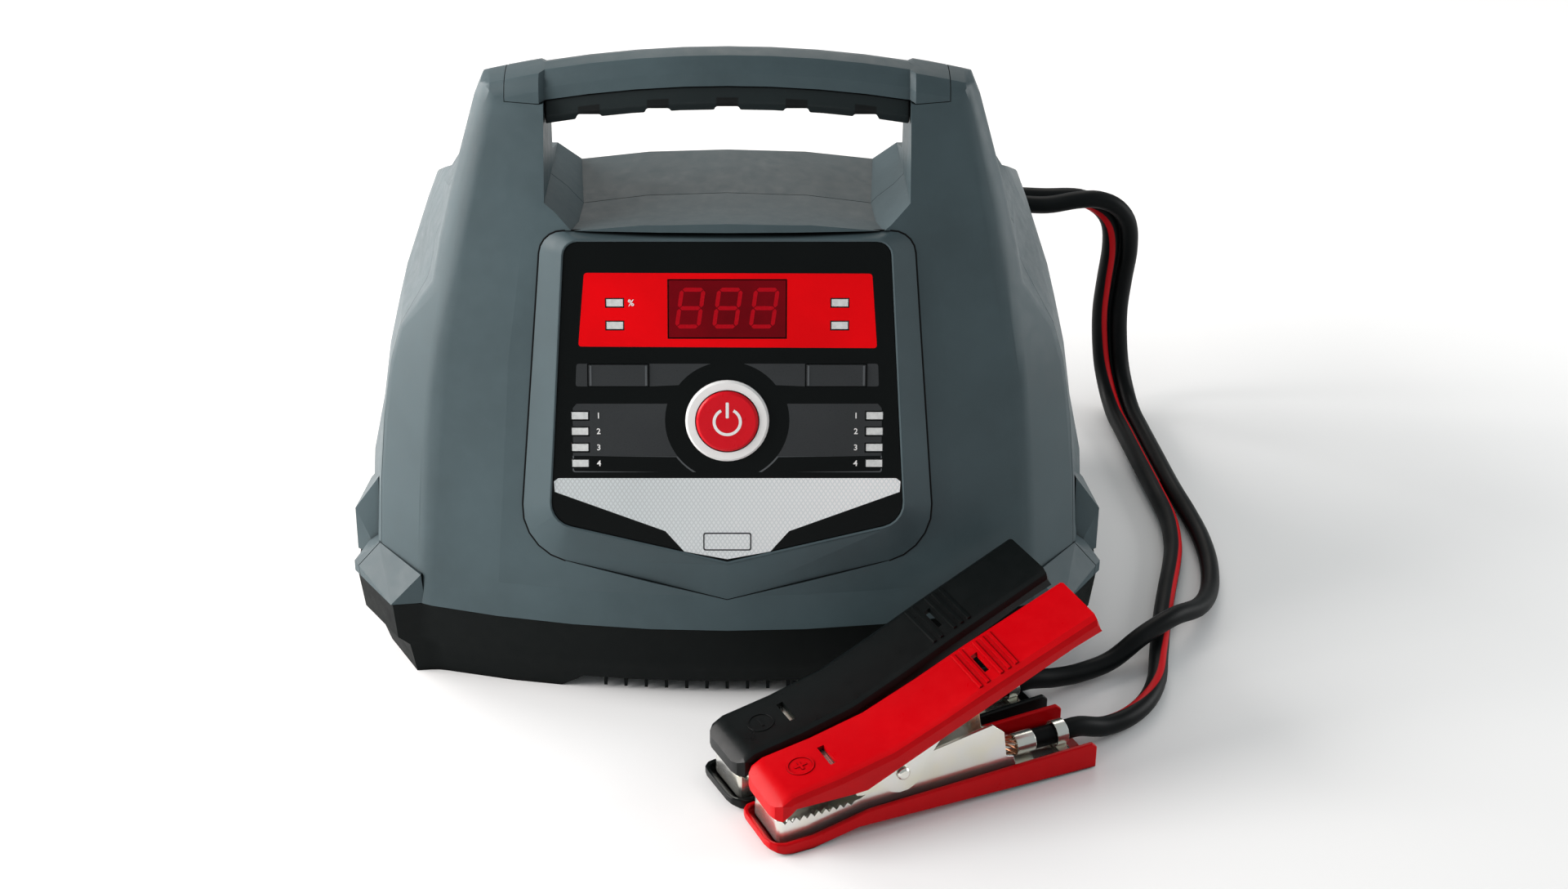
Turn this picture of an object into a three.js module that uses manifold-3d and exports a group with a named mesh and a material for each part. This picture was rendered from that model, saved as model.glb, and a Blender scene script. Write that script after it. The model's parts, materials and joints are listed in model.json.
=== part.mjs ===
// Bench battery charger with a carrying handle, a control panel, two output leads and two spring clamps.
// Millimetres, +Z up, -Y is the front. The origin is on the floor under the middle of the housing.
import * as THREE from "three";
import { mergeVertices } from "three/addons/utils/BufferGeometryUtils.js";
import { ConvexGeometry } from "three/addons/geometries/ConvexGeometry.js";
import Module from "manifold-3d";

const wasm = await Module();
wasm.setup();

// ---------------------------------------------------------------- driving dimensions

// General
const FIT_GAP = 0.3;
const WALL = 2.8;
const CUT_MARGIN = 5;
const CYLINDER_SIDES = 24;

// Housing
const BODY_DEPTH = 208;
const FRONT_Y = -BODY_DEPTH / 2;
const REAR_Y = BODY_DEPTH / 2;
const SEAM_HEIGHT = 34;
const FRONT_LEAN_DEGREES = 15;
const PROW_RADIUS = 385;
const SKIRT_FLARE = 1.2;
const SKIRT_HEIGHT = 12.5;
const MID_SIDE_Y = 10;
const REAR_SIDE_Y = REAR_Y - 28;
const REAR_SIDE_TUCK = 3;
const REAR_CORNER_WIDTH = 22;
const FRONT_EDGE_RADIUS = 14;
const SIDE_EDGE_RADIUS = 7;
const REAR_EDGE_RADIUS = 16;
const EDGE_STEPS = 2;
const PARTING_DEPTH = 38;
// Half widths of the shell by height: where the front face ends, where the corner facet ends,
// how far back the facet's outer edge lies, and the side amidships.
const LEVELS = [
  { z: SEAM_HEIGHT, soft: 116.5, edge: 135.5, back: 19.5, side: 145.0 },
  { z: SEAM_HEIGHT + SKIRT_HEIGHT, soft: 115.4, edge: 134.8, back: 20.0, side: 144.0 },
  { z: 72, soft: 114.1, edge: 133.6, back: 20.0, side: 138.4 },
  { z: 96, soft: 112.3, edge: 131.4, back: 20.0, side: 134.6 },
  { z: 117, soft: 110.0, edge: 128.0, back: 20.0, side: 129.6 },
  { z: 131, soft: 108.0, edge: 123.6, back: 19.0, side: 126.0 },
  { z: 152, soft: 104.2, edge: 110.0, back: 10.0, side: 118.0 },
  { z: 168, soft: 101.0, edge: 106.8, back: 10.0, side: 110.0 },
  { z: 186, soft: 97.6, edge: 102.6, back: 10.0, side: 99.0 },
  { z: 206, soft: 92.4, edge: 97.0, back: 9.0, side: 93.0 },
  { z: 222, soft: 88.4, edge: 92.4, back: 8.0, side: 89.0 },
  { z: 227, soft: 86.4, edge: 90.0, back: 7.0, side: 87.0 },
  { z: 232, soft: 80.5, edge: 82.5, back: 5.0, side: 81.0 },
];
// Top of the shell along the middle, front to back
const SADDLE_PROFILE = [[40, 183.8], [43, 183.6], [58, 180.6], [76, 179.2], [96, 180.2], [112, 181]]
  .map(([behindFront, z]) => [FRONT_Y + behindFront, z]);
const REAR_TOP_HEIGHT = 133;
// Drop of the shell's top towards its sides
const TOP_DROP = [[0, 0], [30, 0.9], [56, 3.9], [105, 6.5], [150, 8]];

// Handle
const HANDLE_TOP = 241.4;
const HANDLE_ARCH_RADIUS = 310;
const HANDLE_DEPTH = 30;
const CAP_HEIGHT = 10.3;
const CAP_HALF_LENGTH = 80.5;
const CAP_WALL = 2.6;
const BAR_SETBACK = 2.8;
const INSERT_HEIGHT = 9.7;
const INSERT_SETBACK = 1.2;
const NOTCH_PITCH = 25;
const NOTCH_COUNT = 5;
const NOTCH_WIDTH = 8;
const NOTCH_DEPTH = 1.6;
const LEG_INNER_FRONT = 68;
const LEG_INNER_REAR = 65;
const LEG_SHOULDER_FRONT = 192;
const LEG_SHOULDER_REAR = 184;
const LEG_FOOT_X = 56;
const LEG_FOOT_FRONT = 179.3;
const LEG_FOOT_REAR = 177.2;
const LEG_REAR_Y = FRONT_Y + 89;
const LEG_BACK_HEIGHT = 192;

// Corner blocks and side skirts of the shell
const CORNER_FRONT_X = 128.5;
const CORNER_SIDE_X = 144.8;
const CORNER_SIDE_Y = FRONT_Y + 42;
const CORNER_SIDE_HEIGHT = 4.5;
const SIDE_SKIRT_X = 145.4;
const SIDE_SKIRT_FRONT_Y = FRONT_Y + 58;
const SIDE_SKIRT_LENGTH = 50;
const SIDE_SKIRT_RISE = 18.5;
const SIDE_SKIRT_END = 2.5;

// Base tray
const BASE_INSET = 1.0;
const BASE_TAPER = 7;
const BASE_TIERS = [
  { z: 17, inset: 2, narrow: 0 },
  { z: 13, inset: 3, narrow: 0.03 },
];
const BASE_CORNER_PULL = 3.6;
const BASE_PULL_START = 60;
const BASE_FLOOR = 3;
const CHANNEL_HEIGHT = 6.5;
const CHANNEL_HALF_WIDTH = 55;
const CHANNEL_FLANK = 9;
const RIB_COUNT = 13;
const RIB_PITCH = 7.8;
const RIB_THICKNESS = 1.3;
const RIB_CLEARANCE = 1.4;
const RIB_LENGTH = 34;

// Control panel, measured across (u) and up the leaning face (v)
const PANEL_SETBACK = 1.3;
const PANEL_TOP = 148;
const PANEL_HALF_TOP = 59.2;
const PANEL_HALF_BOTTOM = 65.6;
const PANEL_SIDE_BOTTOM = 42.2;
const PANEL_TIP = 26.6;
const PANEL_TOP_RADIUS = 5;
const PANEL_BOTTOM_RADIUS = 9;
const BEZEL_TOP = 151.4;
const BEZEL_HALF_TOP = 68;
const BEZEL_HALF_BOTTOM = 77.8;
const BEZEL_SIDE_BOTTOM = 29.7;
const BEZEL_TIP = 11.8;
const BEZEL_TOP_RADIUS = 9;
const BEZEL_BOTTOM_RADIUS = 20;
const BEZEL_DEPTH = 9.5;
const BEZEL_LEDGE = 3;
const RIM_HEIGHT = 0.8;
const RIM_WIDTH = 1.2;
const OVERLAY_THICKNESS = 1.2;
const DISPLAY_DROP = 24.8;
const DISPLAY = { u: 0, v: PANEL_TOP - DISPLAY_DROP, width: 43.4, height: 22 };
const LIGHT_WIDTH = 6.6;
const LIGHT_HEIGHT = 3.3;
const UPPER_LIGHTS = { u: 41.2, rows: [125.5, 117] };
const LOWER_LIGHTS = { u: 54.5, rows: [82.8, 76.8, 70.6, 64.5] };
const KEY = { u: 40.1, v: 98.2, width: 22.4, height: 8.6 };
const KEY_RISE = 0.5;
const KEY_TRAVEL = 0.8;
const BUTTON_V = 81;
const RING_RADIUS = 15.5;
const RING_RISE = 1.3;
const BUTTON_RADIUS = 11.6;
const BUTTON_RISE = 2.2;
const BUTTON_TRAVEL = 1.2;
const FLANGE_WIDTH = 1.4;
const FLANGE_THICKNESS = 1.3;
const BOARD_DEPTH = 10.4;
const BOARD_THICKNESS = 1.6;
const SWITCH_SIZE = 6;

// Inside the housing
const CORE = { x: -42, y: 22, width: 84, depth: 46, height: 70, leg: 28, window: 14 };
const COIL_BULGE = 15;
const SINK = { x: 62, y: 22, width: 84, depth: 46, base: 5, fins: 9, finHeight: 30, finThickness: 1.8 };
const DIODE_RADIUS = 6.4;
const DIODE_HEIGHT = 8;
const FAN = { x: -30, z: 74, size: 60, depth: 20, hub: 12, blades: 7, bladeTilt: 35 };
const VENT = { slots: 8, pitch: 6.6, height: 3.2, width: 54 };
const BREAKER = { x: 50, y: -40, width: 26, depth: 14, height: 24 };
const SCREW = { x: 96, frontY: FRONT_Y + 38, rearY: REAR_Y - 26, head: 4.2, shank: 1.9, length: 14, headHeight: 2.4 };

// Leads and glands
const LEAD_DIAMETER = 7.6;
const LEAD_SPACING = 8.2;
const LEAD_SIDES = 8;
const LEAD_STEPS = 54;
const GLAND = { x: 96, z: 101, width: 24, height: 14, depth: 9, flange: 2.4 };
const INLET = { x: -92, z: 62, radius: 8.5, bore: 4.2, depth: 3.4, flange: 1.9 };

// Clamps, measured along (t), across (n) and up (z), from the jaws' tip
const CLAMP_WIDTH = 28;
const COVER_WALL = 1.8;
const STEEL = 1.2;
const PIVOT_T = 48;
const PIVOT_Z = 21;
const RIVET_RADIUS = 1.8;
const RIVET_HEAD = 2.6;
const TOOTH_PITCH = 2.9;
const TOOTH_DEPTH = 1.8;
const EAR_RADIUS = 8.5;
const RIVET_CROWN = 1.4;
const NOSE_RADIUS = 6;
const SLOT_PLACES = [23.4, 84.6];
const SLOT_LENGTH = 2.6;
const SLOT_WIDTH = 11;
const GRIP_OFFSETS = [-5.6, -2.7, 2.7, 5.6, 8.5];
const COVER_EDGE = [[-1, 3.2], [0, 3.2], [0.9, 1.1], [3, 0]];
const COVER_TOP = [[4, 25.3], [23, 28.3], [44, 33.2], [65, 42], [85, 51.2], [124, 67.8]];
const CLAMP_LENGTH = 128;
const CRIMP_T = 104;
const CRIMP_LENGTH = 8;
const CRIMP_RADIUS = 4.3;
const CRIMP_TONGUE = 9;
const STRAP_T = 119;
const STRAP_WIDTH = 4.6;
const LEAD_END_HEIGHT = 9.5;
const SPRING = { radius: 5.2, wire: 0.9, curls: 4.5, pitch: 2.7, steps: 48, upper: [72, 30.4], lower: [72, 7.4] };
const RED_CLAMP = { x: 14.2, y: -183.7, turn: 24.3 };
const BLACK_CLAMP = { x: 0.5, y: -158.1, turn: 26.5 };

// ---------------------------------------------------------------- materials

const FINISH = {
  shell: { color: 0x4a5358, roughness: 0.55, metalness: 0 },
  base: { color: 0x17191b, roughness: 0.6, metalness: 0 },
  insert: { color: 0x20262a, roughness: 0.7, metalness: 0 },
  overlay: { color: 0x101214, roughness: 0.25, metalness: 0 },
  redKey: { color: 0xd8101c, roughness: 0.35, metalness: 0 },
  white: { color: 0xf2f2f0, roughness: 0.4, metalness: 0 },
  window: { color: 0x4a0509, roughness: 0.15, metalness: 0 },
  lens: { color: 0xc9cccb, roughness: 0.3, metalness: 0 },
  board: { color: 0x1f5a38, roughness: 0.6, metalness: 0 },
  iron: { color: 0x5b5e60, roughness: 0.5, metalness: 0.8 },
  winding: { color: 0xa3542a, roughness: 0.45, metalness: 0.6 },
  aluminium: { color: 0xb6babc, roughness: 0.4, metalness: 0.9 },
  zinc: { color: 0xd3d3cd, roughness: 0.28, metalness: 1 },
  copper: { color: 0xc46a3a, roughness: 0.35, metalness: 1 },
  redPlastic: { color: 0xcf0410, roughness: 0.38, metalness: 0 },
  blackPlastic: { color: 0x141516, roughness: 0.4, metalness: 0 },
  rubber: { color: 0x1a1b1c, roughness: 0.6, metalness: 0 },
};

// ---------------------------------------------------------------- geometry helpers

const LEAN = THREE.MathUtils.degToRad(FRONT_LEAN_DEGREES);

function toSolid(geometry) {
  const bare = geometry.clone();
  bare.deleteAttribute("normal");
  bare.deleteAttribute("uv");
  const merged = mergeVertices(bare, 1e-4);
  const vertProperties = new Float32Array(merged.attributes.position.array);
  const triVerts = new Uint32Array(merged.index.array);
  return new wasm.Manifold(new wasm.Mesh({ numProp: 3, vertProperties, triVerts }));
}

function toGeometry(solid) {
  const mesh = solid.getMesh();
  const geometry = new THREE.BufferGeometry();
  geometry.setAttribute("position", new THREE.BufferAttribute(new Float32Array(mesh.vertProperties), 3));
  geometry.setIndex(new THREE.BufferAttribute(new Uint32Array(mesh.triVerts), 1));
  return geometry.toNonIndexed();
}

const join = (...solids) => solids.reduce((all, next) => all.add(next));
const cut = (solid, ...tools) => tools.reduce((left, tool) => left.subtract(tool), solid);

function lerpTable(table, at) {
  for (let i = 1; i < table.length; i += 1) {
    const [x0, y0] = table[i - 1];
    const [x1, y1] = table[i];
    if (at <= x1 || i === table.length - 1) {
      return y0 + ((y1 - y0) * (at - x0)) / (x1 - x0);
    }
  }
  return table[0][1];
}

// A closed solid from rings of points that all have the same count. The rings run
// counter-clockwise seen from the last ring's side; flat(point) lays a ring out for its end face.
function loft(rings, flat) {
  const count = rings[0].length;
  const position = rings.flat().flatMap((point) => [point.x, point.y, point.z]);
  const index = [];
  for (let r = 0; r + 1 < rings.length; r += 1) {
    for (let i = 0; i < count; i += 1) {
      const a = r * count + i;
      const b = r * count + ((i + 1) % count);
      index.push(a, b, b + count, a, b + count, a + count);
    }
  }
  const last = (rings.length - 1) * count;
  const endFace = (ring) => THREE.ShapeUtils.triangulateShape(ring.map(flat), []);
  for (const [a, b, c] of endFace(rings[0])) {
    index.push(c, b, a);
  }
  for (const [a, b, c] of endFace(rings[rings.length - 1])) {
    index.push(last + a, last + b, last + c);
  }
  const geometry = new THREE.BufferGeometry();
  geometry.setAttribute("position", new THREE.Float32BufferAttribute(position, 3));
  geometry.setIndex(index);
  return geometry;
}

const loftUp = (rings) => toSolid(loft(rings, (p) => new THREE.Vector2(p.x, p.y)));
const loftAcross = (rings) => toSolid(loft(rings, (p) => new THREE.Vector2(p.y, p.z)));
const loftBack = (rings) => toSolid(loft(rings, (p) => new THREE.Vector2(p.z, p.x)));

function box(x0, x1, y0, y1, z0, z1) {
  const geometry = new THREE.BoxGeometry(x1 - x0, y1 - y0, z1 - z0);
  geometry.translate((x0 + x1) / 2, (y0 + y1) / 2, (z0 + z1) / 2);
  return toSolid(geometry);
}

// A flat outline pushed out along +Z from z0 to z1, with holes as further outlines
function plate(outline, z0, z1, holes = []) {
  const shape = new THREE.Shape(outline.map(([x, y]) => new THREE.Vector2(x, y)));
  const geometry = new THREE.ExtrudeGeometry(shape, { depth: z1 - z0, bevelEnabled: false, steps: 1 });
  geometry.translate(0, 0, z0);
  return cut(toSolid(geometry), ...holes.map((hole) => plate(hole, z0 - 1, z1 + 1)));
}

function rectangle(u, v, width, height) {
  const [a, b] = [width / 2, height / 2];
  return [[u - a, v - b], [u + a, v - b], [u + a, v + b], [u - a, v + b]];
}

function circle(u, v, radius, sides = CYLINDER_SIDES) {
  return Array.from({ length: sides }, (_, i) => {
    const angle = (i / sides) * 2 * Math.PI;
    return [u + radius * Math.cos(angle), v + radius * Math.sin(angle)];
  });
}

// A polygon with its corners rounded: each corner is [u, v, radius]. A radius that its sides
// have no room for is made smaller.
function roundedOutline(corners, steps = 5) {
  const count = corners.length;
  return corners.flatMap(([u, v, wanted], i) => {
    if (!wanted) {
      return [[u, v]];
    }
    const corner = new THREE.Vector2(u, v);
    const before = new THREE.Vector2(...corners[(i + count - 1) % count]).sub(corner);
    const after = new THREE.Vector2(...corners[(i + 1) % count]).sub(corner);
    const room = 0.45 * Math.min(before.length(), after.length());
    before.normalize();
    after.normalize();
    const half = Math.acos(THREE.MathUtils.clamp(before.dot(after), -1, 1)) / 2;
    const radius = Math.min(wanted, room * Math.tan(half));
    const centre = before.clone().add(after).normalize().multiplyScalar(radius / Math.sin(half)).add(corner);
    const start = before.clone().multiplyScalar(radius / Math.tan(half)).add(corner).sub(centre);
    const turn = (before.cross(after) > 0 ? -1 : 1) * (Math.PI - 2 * half);
    return Array.from({ length: steps + 1 }, (_, k) => {
      const point = start.clone().rotateAround(new THREE.Vector2(), (turn * k) / steps).add(centre);
      return [point.x, point.y];
    });
  });
}

// The same polygon with every side moved inwards by the same distance; it runs counter-clockwise
function insetPolygon(points, distance) {
  const count = points.length;
  return points.map((point, i) => {
    const before = points[(i + count - 1) % count];
    const after = points[(i + 1) % count];
    const first = new THREE.Vector2(-(point[1] - before[1]), point[0] - before[0]).normalize();
    const second = new THREE.Vector2(-(after[1] - point[1]), after[0] - point[0]).normalize();
    const share = distance / (1 + first.dot(second));
    return [point[0] + (first.x + second.x) * share, point[1] + (first.y + second.y) * share];
  });
}

// ---------------------------------------------------------------- housing surfaces

function levelAt(z) {
  const value = (key) => lerpTable(LEVELS.map((level) => [level.z, level[key]]), z);
  return { soft: value("soft"), edge: value("edge"), back: value("back"), side: value("side") };
}

const prowDrop = (x) => PROW_RADIUS - Math.sqrt(PROW_RADIUS ** 2 - x ** 2);

function frontY(x, z) {
  return FRONT_Y + SKIRT_FLARE + prowDrop(x) + (z - SEAM_HEIGHT) * Math.tan(LEAN);
}

// Half of the shell's plan at one height, from the prow round to the rear: [x, y, corner radius]
function halfPlan(z) {
  const { soft, edge, back, side } = levelAt(z);
  const flare = z <= SEAM_HEIGHT ? SKIRT_FLARE : 0;
  const front = [0, 0.25, 0.5, 0.75].map((share) => [soft * share, frontY(soft * share, z) - flare, 0]);
  return [
    ...front,
    [soft, frontY(soft, z) - flare, FRONT_EDGE_RADIUS],
    [edge, frontY(soft, z) + back - flare, SIDE_EDGE_RADIUS],
    [side, MID_SIDE_Y, 0],
    [side - REAR_SIDE_TUCK, REAR_SIDE_Y, REAR_EDGE_RADIUS],
    [side - REAR_CORNER_WIDTH, REAR_Y, REAR_EDGE_RADIUS],
  ];
}

const bothHalves = (half) => [...half, ...half.slice(1).reverse().map(([x, y, radius]) => [-x, y, radius])];

function planRing(z, inset, atHeight = z) {
  const full = roundedOutline(bothHalves(halfPlan(z)), EDGE_STEPS);
  return insetPolygon(full, inset).map(([x, y]) => new THREE.Vector3(x, y, atHeight));
}

// The whole shell as a block, with its top still uncut
function shellBlock(inset) {
  const rings = LEVELS.map(({ z }) => planRing(z, inset));
  if (inset > 0) {
    rings.unshift(planRing(SEAM_HEIGHT, inset, SEAM_HEIGHT - CUT_MARGIN));
  }
  return loftUp(rings);
}

// Everything above the saddle and the sloping rear top, lowered by the inset
function aboveTop(inset) {
  const [ridgeY, ridgeZ] = SADDLE_PROFILE[SADDLE_PROFILE.length - 1];
  const slope = (REAR_TOP_HEIGHT - ridgeZ) / (REAR_Y - ridgeY);
  const far = REAR_Y + CUT_MARGIN;
  const profile = [
    [FRONT_Y - CUT_MARGIN, SADDLE_PROFILE[0][1]],
    ...SADDLE_PROFILE,
    [far, ridgeZ + slope * (far - ridgeY)],
  ];
  const ceiling = HANDLE_TOP + CUT_MARGIN;
  const stations = [...TOP_DROP.slice(1).reverse().map(([x, drop]) => [-x, drop]), ...TOP_DROP];
  return loftAcross(stations.map(([x, drop]) => [
    ...profile.map(([y, z]) => new THREE.Vector3(x, y, z - drop - inset)),
    new THREE.Vector3(x, far, ceiling),
    new THREE.Vector3(x, FRONT_Y - CUT_MARGIN, ceiling),
  ]));
}

// The space that one leg of the handle fills above the saddle; inset thins it on its inner and rear faces
function legColumn(sign, inset) {
  const ceiling = HANDLE_TOP + CUT_MARGIN;
  const outside = LEVELS[0].side + CUT_MARGIN;
  const below = LEG_FOOT_REAR - WALL - CUT_MARGIN;
  const [ridgeY] = SADDLE_PROFILE[SADDLE_PROFILE.length - 1];
  const wall = (y, inner, shoulder, foot) => [
    [inner + inset, ceiling],
    [inner + inset, shoulder - inset],
    [LEG_FOOT_X + inset, foot - inset],
    [LEG_FOOT_X - (foot - below) + inset, below - inset],
    [outside, below - inset],
    [outside, ceiling],
  ].map(([x, z]) => new THREE.Vector3(sign * x, y, z));
  const front = wall(FRONT_Y, LEG_INNER_FRONT, LEG_SHOULDER_FRONT, LEG_FOOT_FRONT);
  const rear = wall(ridgeY, LEG_INNER_REAR, LEG_SHOULDER_REAR, LEG_FOOT_REAR);
  const column = loftBack([front, rear].map((ring) => (sign > 0 ? ring.reverse() : ring)));
  const behind = [
    [ridgeY + CUT_MARGIN, below - CUT_MARGIN],
    [ridgeY + CUT_MARGIN, ceiling + CUT_MARGIN],
    [LEG_REAR_Y - inset, ceiling + CUT_MARGIN],
    [LEG_REAR_Y - inset, LEG_BACK_HEIGHT],
    [ridgeY - inset, LEG_SHOULDER_REAR - inset],
    [ridgeY - inset, below - CUT_MARGIN],
  ];
  const span = [-1, 1].map((end) => behind.map(([y, z]) => new THREE.Vector3(end * (outside + CUT_MARGIN), y, z)));
  return cut(column, loftAcross(span));
}

const archDrop = (x) => HANDLE_ARCH_RADIUS - Math.sqrt(HANDLE_ARCH_RADIUS ** 2 - x ** 2);
const crestAt = (x) => HANDLE_TOP - archDrop(x);
// The underside of the handle's cap follows the arch between the legs and is level over them
const capFloor = (x) => crestAt(Math.min(Math.abs(x), LEG_INNER_FRONT)) - CAP_HEIGHT;

// The rounded top of the handle at one station, front to back, shrunk by the inset
function crownPoints(x, setback, inset) {
  const crest = crestAt(x);
  const face = (drop) => frontY(x, crest - drop) + setback + inset;
  const rear = frontY(x, crest - CAP_HEIGHT) + HANDLE_DEPTH - setback - inset;
  return [
    [face(6), crest - 6],
    [face(2.6) + 0.8, crest - 2.6 - inset * 0.6],
    [face(0) + 2.6, crest - 0.7 - inset],
    [face(0) + 8, crest - inset],
    [rear - 12, crest - 0.6 - inset],
    [rear - 4.5, crest - 3.2 - inset],
    [rear - 0.8, crest - 7],
  ];
}

function crownSection(x, bottom, setback, inset) {
  const front = frontY(x, bottom) + setback + inset;
  const rear = frontY(x, crestAt(x) - CAP_HEIGHT) + HANDLE_DEPTH - setback - inset;
  const points = [[front, bottom], ...crownPoints(x, setback, inset), [rear, bottom]];
  return points.reverse().map(([y, z]) => new THREE.Vector3(x, y, z));
}

// The handle's crown carried on down past the legs, which rounds the legs' tops
function crownEnvelope(inset) {
  const edge = LEVELS[0].side + CUT_MARGIN;
  const stations = [-edge, -100, -86, -78, -66, -50, -33, -16, 0, 16, 33, 50, 66, 78, 86, 100, edge];
  const drop = (x) => crestAt(x) - 6 - inset;
  const below = SEAM_HEIGHT - 2 * CUT_MARGIN;
  return loftAcross(stations.map((x) => {
    const shoulder = drop(x);
    const points = [
      [FRONT_Y - CUT_MARGIN, below],
      [FRONT_Y - CUT_MARGIN, shoulder],
      ...crownPoints(x, 0, inset),
      [REAR_Y + CUT_MARGIN, crestAt(x) - 7 - inset],
      [REAR_Y + CUT_MARGIN, below],
    ];
    return points.reverse().map(([y, z]) => new THREE.Vector3(x, y, z));
  }));
}

function shellForm(inset) {
  const open = cut(aboveTop(inset), legColumn(1, inset), legColumn(-1, inset));
  return cut(shellBlock(inset), open).intersect(crownEnvelope(inset));
}

// The faceted block on each lower front corner and the wedge that runs back from it along the side
function cornerTrim(sign) {
  const seamY = frontY(LEVELS[0].soft, SEAM_HEIGHT) - SKIRT_FLARE;
  const crease = LEVELS[1];
  const inside = LEVELS[0].edge;
  const corner = new ConvexGeometry([
    [LEVELS[0].soft - 1, seamY + 1, SEAM_HEIGHT],
    [CORNER_FRONT_X, seamY - 0.6, SEAM_HEIGHT],
    [CORNER_SIDE_X, CORNER_SIDE_Y, SEAM_HEIGHT],
    [CORNER_SIDE_X, CORNER_SIDE_Y, SEAM_HEIGHT + CORNER_SIDE_HEIGHT],
    [crease.soft + 1.5, seamY + 3.5, SEAM_HEIGHT + 11],
    [crease.edge, frontY(crease.soft, crease.z) + crease.back - 0.2, crease.z + 0.5],
    [LEVELS[0].soft - 4, CORNER_SIDE_Y + 12, SEAM_HEIGHT],
    [LEVELS[0].soft - 4, CORNER_SIDE_Y + 12, crease.z - 3],
    [inside, CORNER_SIDE_Y + 22, SEAM_HEIGHT],
    [inside, CORNER_SIDE_Y + 22, crease.z - 4],
  ].map(([x, y, z]) => new THREE.Vector3(sign * x, y, z)));
  const rearY = SIDE_SKIRT_FRONT_Y + SIDE_SKIRT_LENGTH;
  const skirt = new ConvexGeometry([
    [inside, SIDE_SKIRT_FRONT_Y - 8, SEAM_HEIGHT],
    [SIDE_SKIRT_X, SIDE_SKIRT_FRONT_Y, SEAM_HEIGHT],
    [SIDE_SKIRT_X, SIDE_SKIRT_FRONT_Y, SEAM_HEIGHT + SIDE_SKIRT_RISE],
    [inside, SIDE_SKIRT_FRONT_Y, SEAM_HEIGHT + SIDE_SKIRT_RISE + 14],
    [SIDE_SKIRT_X, rearY, SEAM_HEIGHT],
    [SIDE_SKIRT_X, rearY, SEAM_HEIGHT + SIDE_SKIRT_END],
    [inside, rearY, SEAM_HEIGHT + SIDE_SKIRT_END + 12],
    [inside, rearY + 12, SEAM_HEIGHT],
  ].map(([x, y, z]) => new THREE.Vector3(sign * x, y, z)));
  return join(toSolid(corner), toSolid(skirt));
}

// ---------------------------------------------------------------- control panel frame

const panelFrame = new THREE.Matrix4().makeBasis(
  new THREE.Vector3(1, 0, 0),
  new THREE.Vector3(0, Math.sin(LEAN), Math.cos(LEAN)),
  new THREE.Vector3(0, -Math.cos(LEAN), Math.sin(LEAN)),
).setPosition(
  0,
  FRONT_Y + SKIRT_FLARE + PANEL_SETBACK * Math.cos(LEAN),
  SEAM_HEIGHT - PANEL_SETBACK * Math.sin(LEAN),
);

const onPanel = (solid) => solid.transform(panelFrame.toArray());

function panelOutline(halfTop, top, halfBottom, sideBottom, tip, topRadius, bottomRadius) {
  return roundedOutline([
    [halfTop, top, topRadius],
    [-halfTop, top, topRadius],
    [-halfBottom, sideBottom, bottomRadius],
    [0, tip, 0],
    [halfBottom, sideBottom, bottomRadius],
  ]);
}

const overlayOutline = panelOutline(
  PANEL_HALF_TOP, PANEL_TOP, PANEL_HALF_BOTTOM, PANEL_SIDE_BOTTOM, PANEL_TIP, PANEL_TOP_RADIUS, PANEL_BOTTOM_RADIUS,
);
const bezelOutline = panelOutline(
  BEZEL_HALF_TOP, BEZEL_TOP, BEZEL_HALF_BOTTOM, BEZEL_SIDE_BOTTOM, BEZEL_TIP, BEZEL_TOP_RADIUS, BEZEL_BOTTOM_RADIUS,
);
const OVERLAY_BACK = -OVERLAY_THICKNESS;
const BOARD_FRONT = -BOARD_DEPTH;

const upperLights = [-1, 1].map((side) => UPPER_LIGHTS.rows.map((v) => [side * UPPER_LIGHTS.u, v]));
const lowerLights = [-1, 1].map((side) => LOWER_LIGHTS.rows.map((v) => [side * LOWER_LIGHTS.u, v]));

// ---------------------------------------------------------------- more helpers

// An outline in (x, z) swept along Y, and one in (y, z) swept along X
const QUARTER_TURN = new THREE.Matrix4().makeRotationX(Math.PI / 2).toArray();
const sweepY = (outline, y0, y1, holes) => plate(outline, -y1, -y0, holes).transform(QUARTER_TURN);

// A round solid on the +Z axis from [radius, height] steps, moved to (u, v)
function turned(profile, u = 0, v = 0, sides = CYLINDER_SIDES) {
  return loftUp(profile.map(([radius, height]) => circle(u, v, radius, sides).map(
    ([x, y]) => new THREE.Vector3(x, y, height),
  )));
}

const alongY = (solid, x, y, z) => solid.transform(
  new THREE.Matrix4().makeTranslation(x, y, z).multiply(new THREE.Matrix4().makeRotationX(-Math.PI / 2)).toArray(),
);

// A closed ring-shaped solid from loops of equal length, given outside up and inside down
function loopSolid(loops) {
  const count = loops[0].length;
  const index = [];
  loops.forEach((_, r) => {
    const next = (r + 1) % loops.length;
    for (let i = 0; i < count; i += 1) {
      const j = (i + 1) % count;
      index.push(r * count + i, r * count + j, next * count + j);
      index.push(r * count + i, next * count + j, next * count + i);
    }
  });
  const geometry = new THREE.BufferGeometry();
  geometry.setAttribute("position", new THREE.Float32BufferAttribute(loops.flat(2), 3));
  geometry.setIndex(index);
  return toSolid(geometry);
}

// A round tube through points, with flat ends
function tube(points, radius, sides, steps) {
  const path = new THREE.CatmullRomCurve3(points.map((p) => new THREE.Vector3(...p)), false, "catmullrom", 0.5);
  const shape = new THREE.Shape(circle(0, 0, radius, sides).map(([x, y]) => new THREE.Vector2(x, y)));
  return new THREE.ExtrudeGeometry(shape, { steps, bevelEnabled: false, extrudePath: path });
}

const assembly = new THREE.Group();

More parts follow.
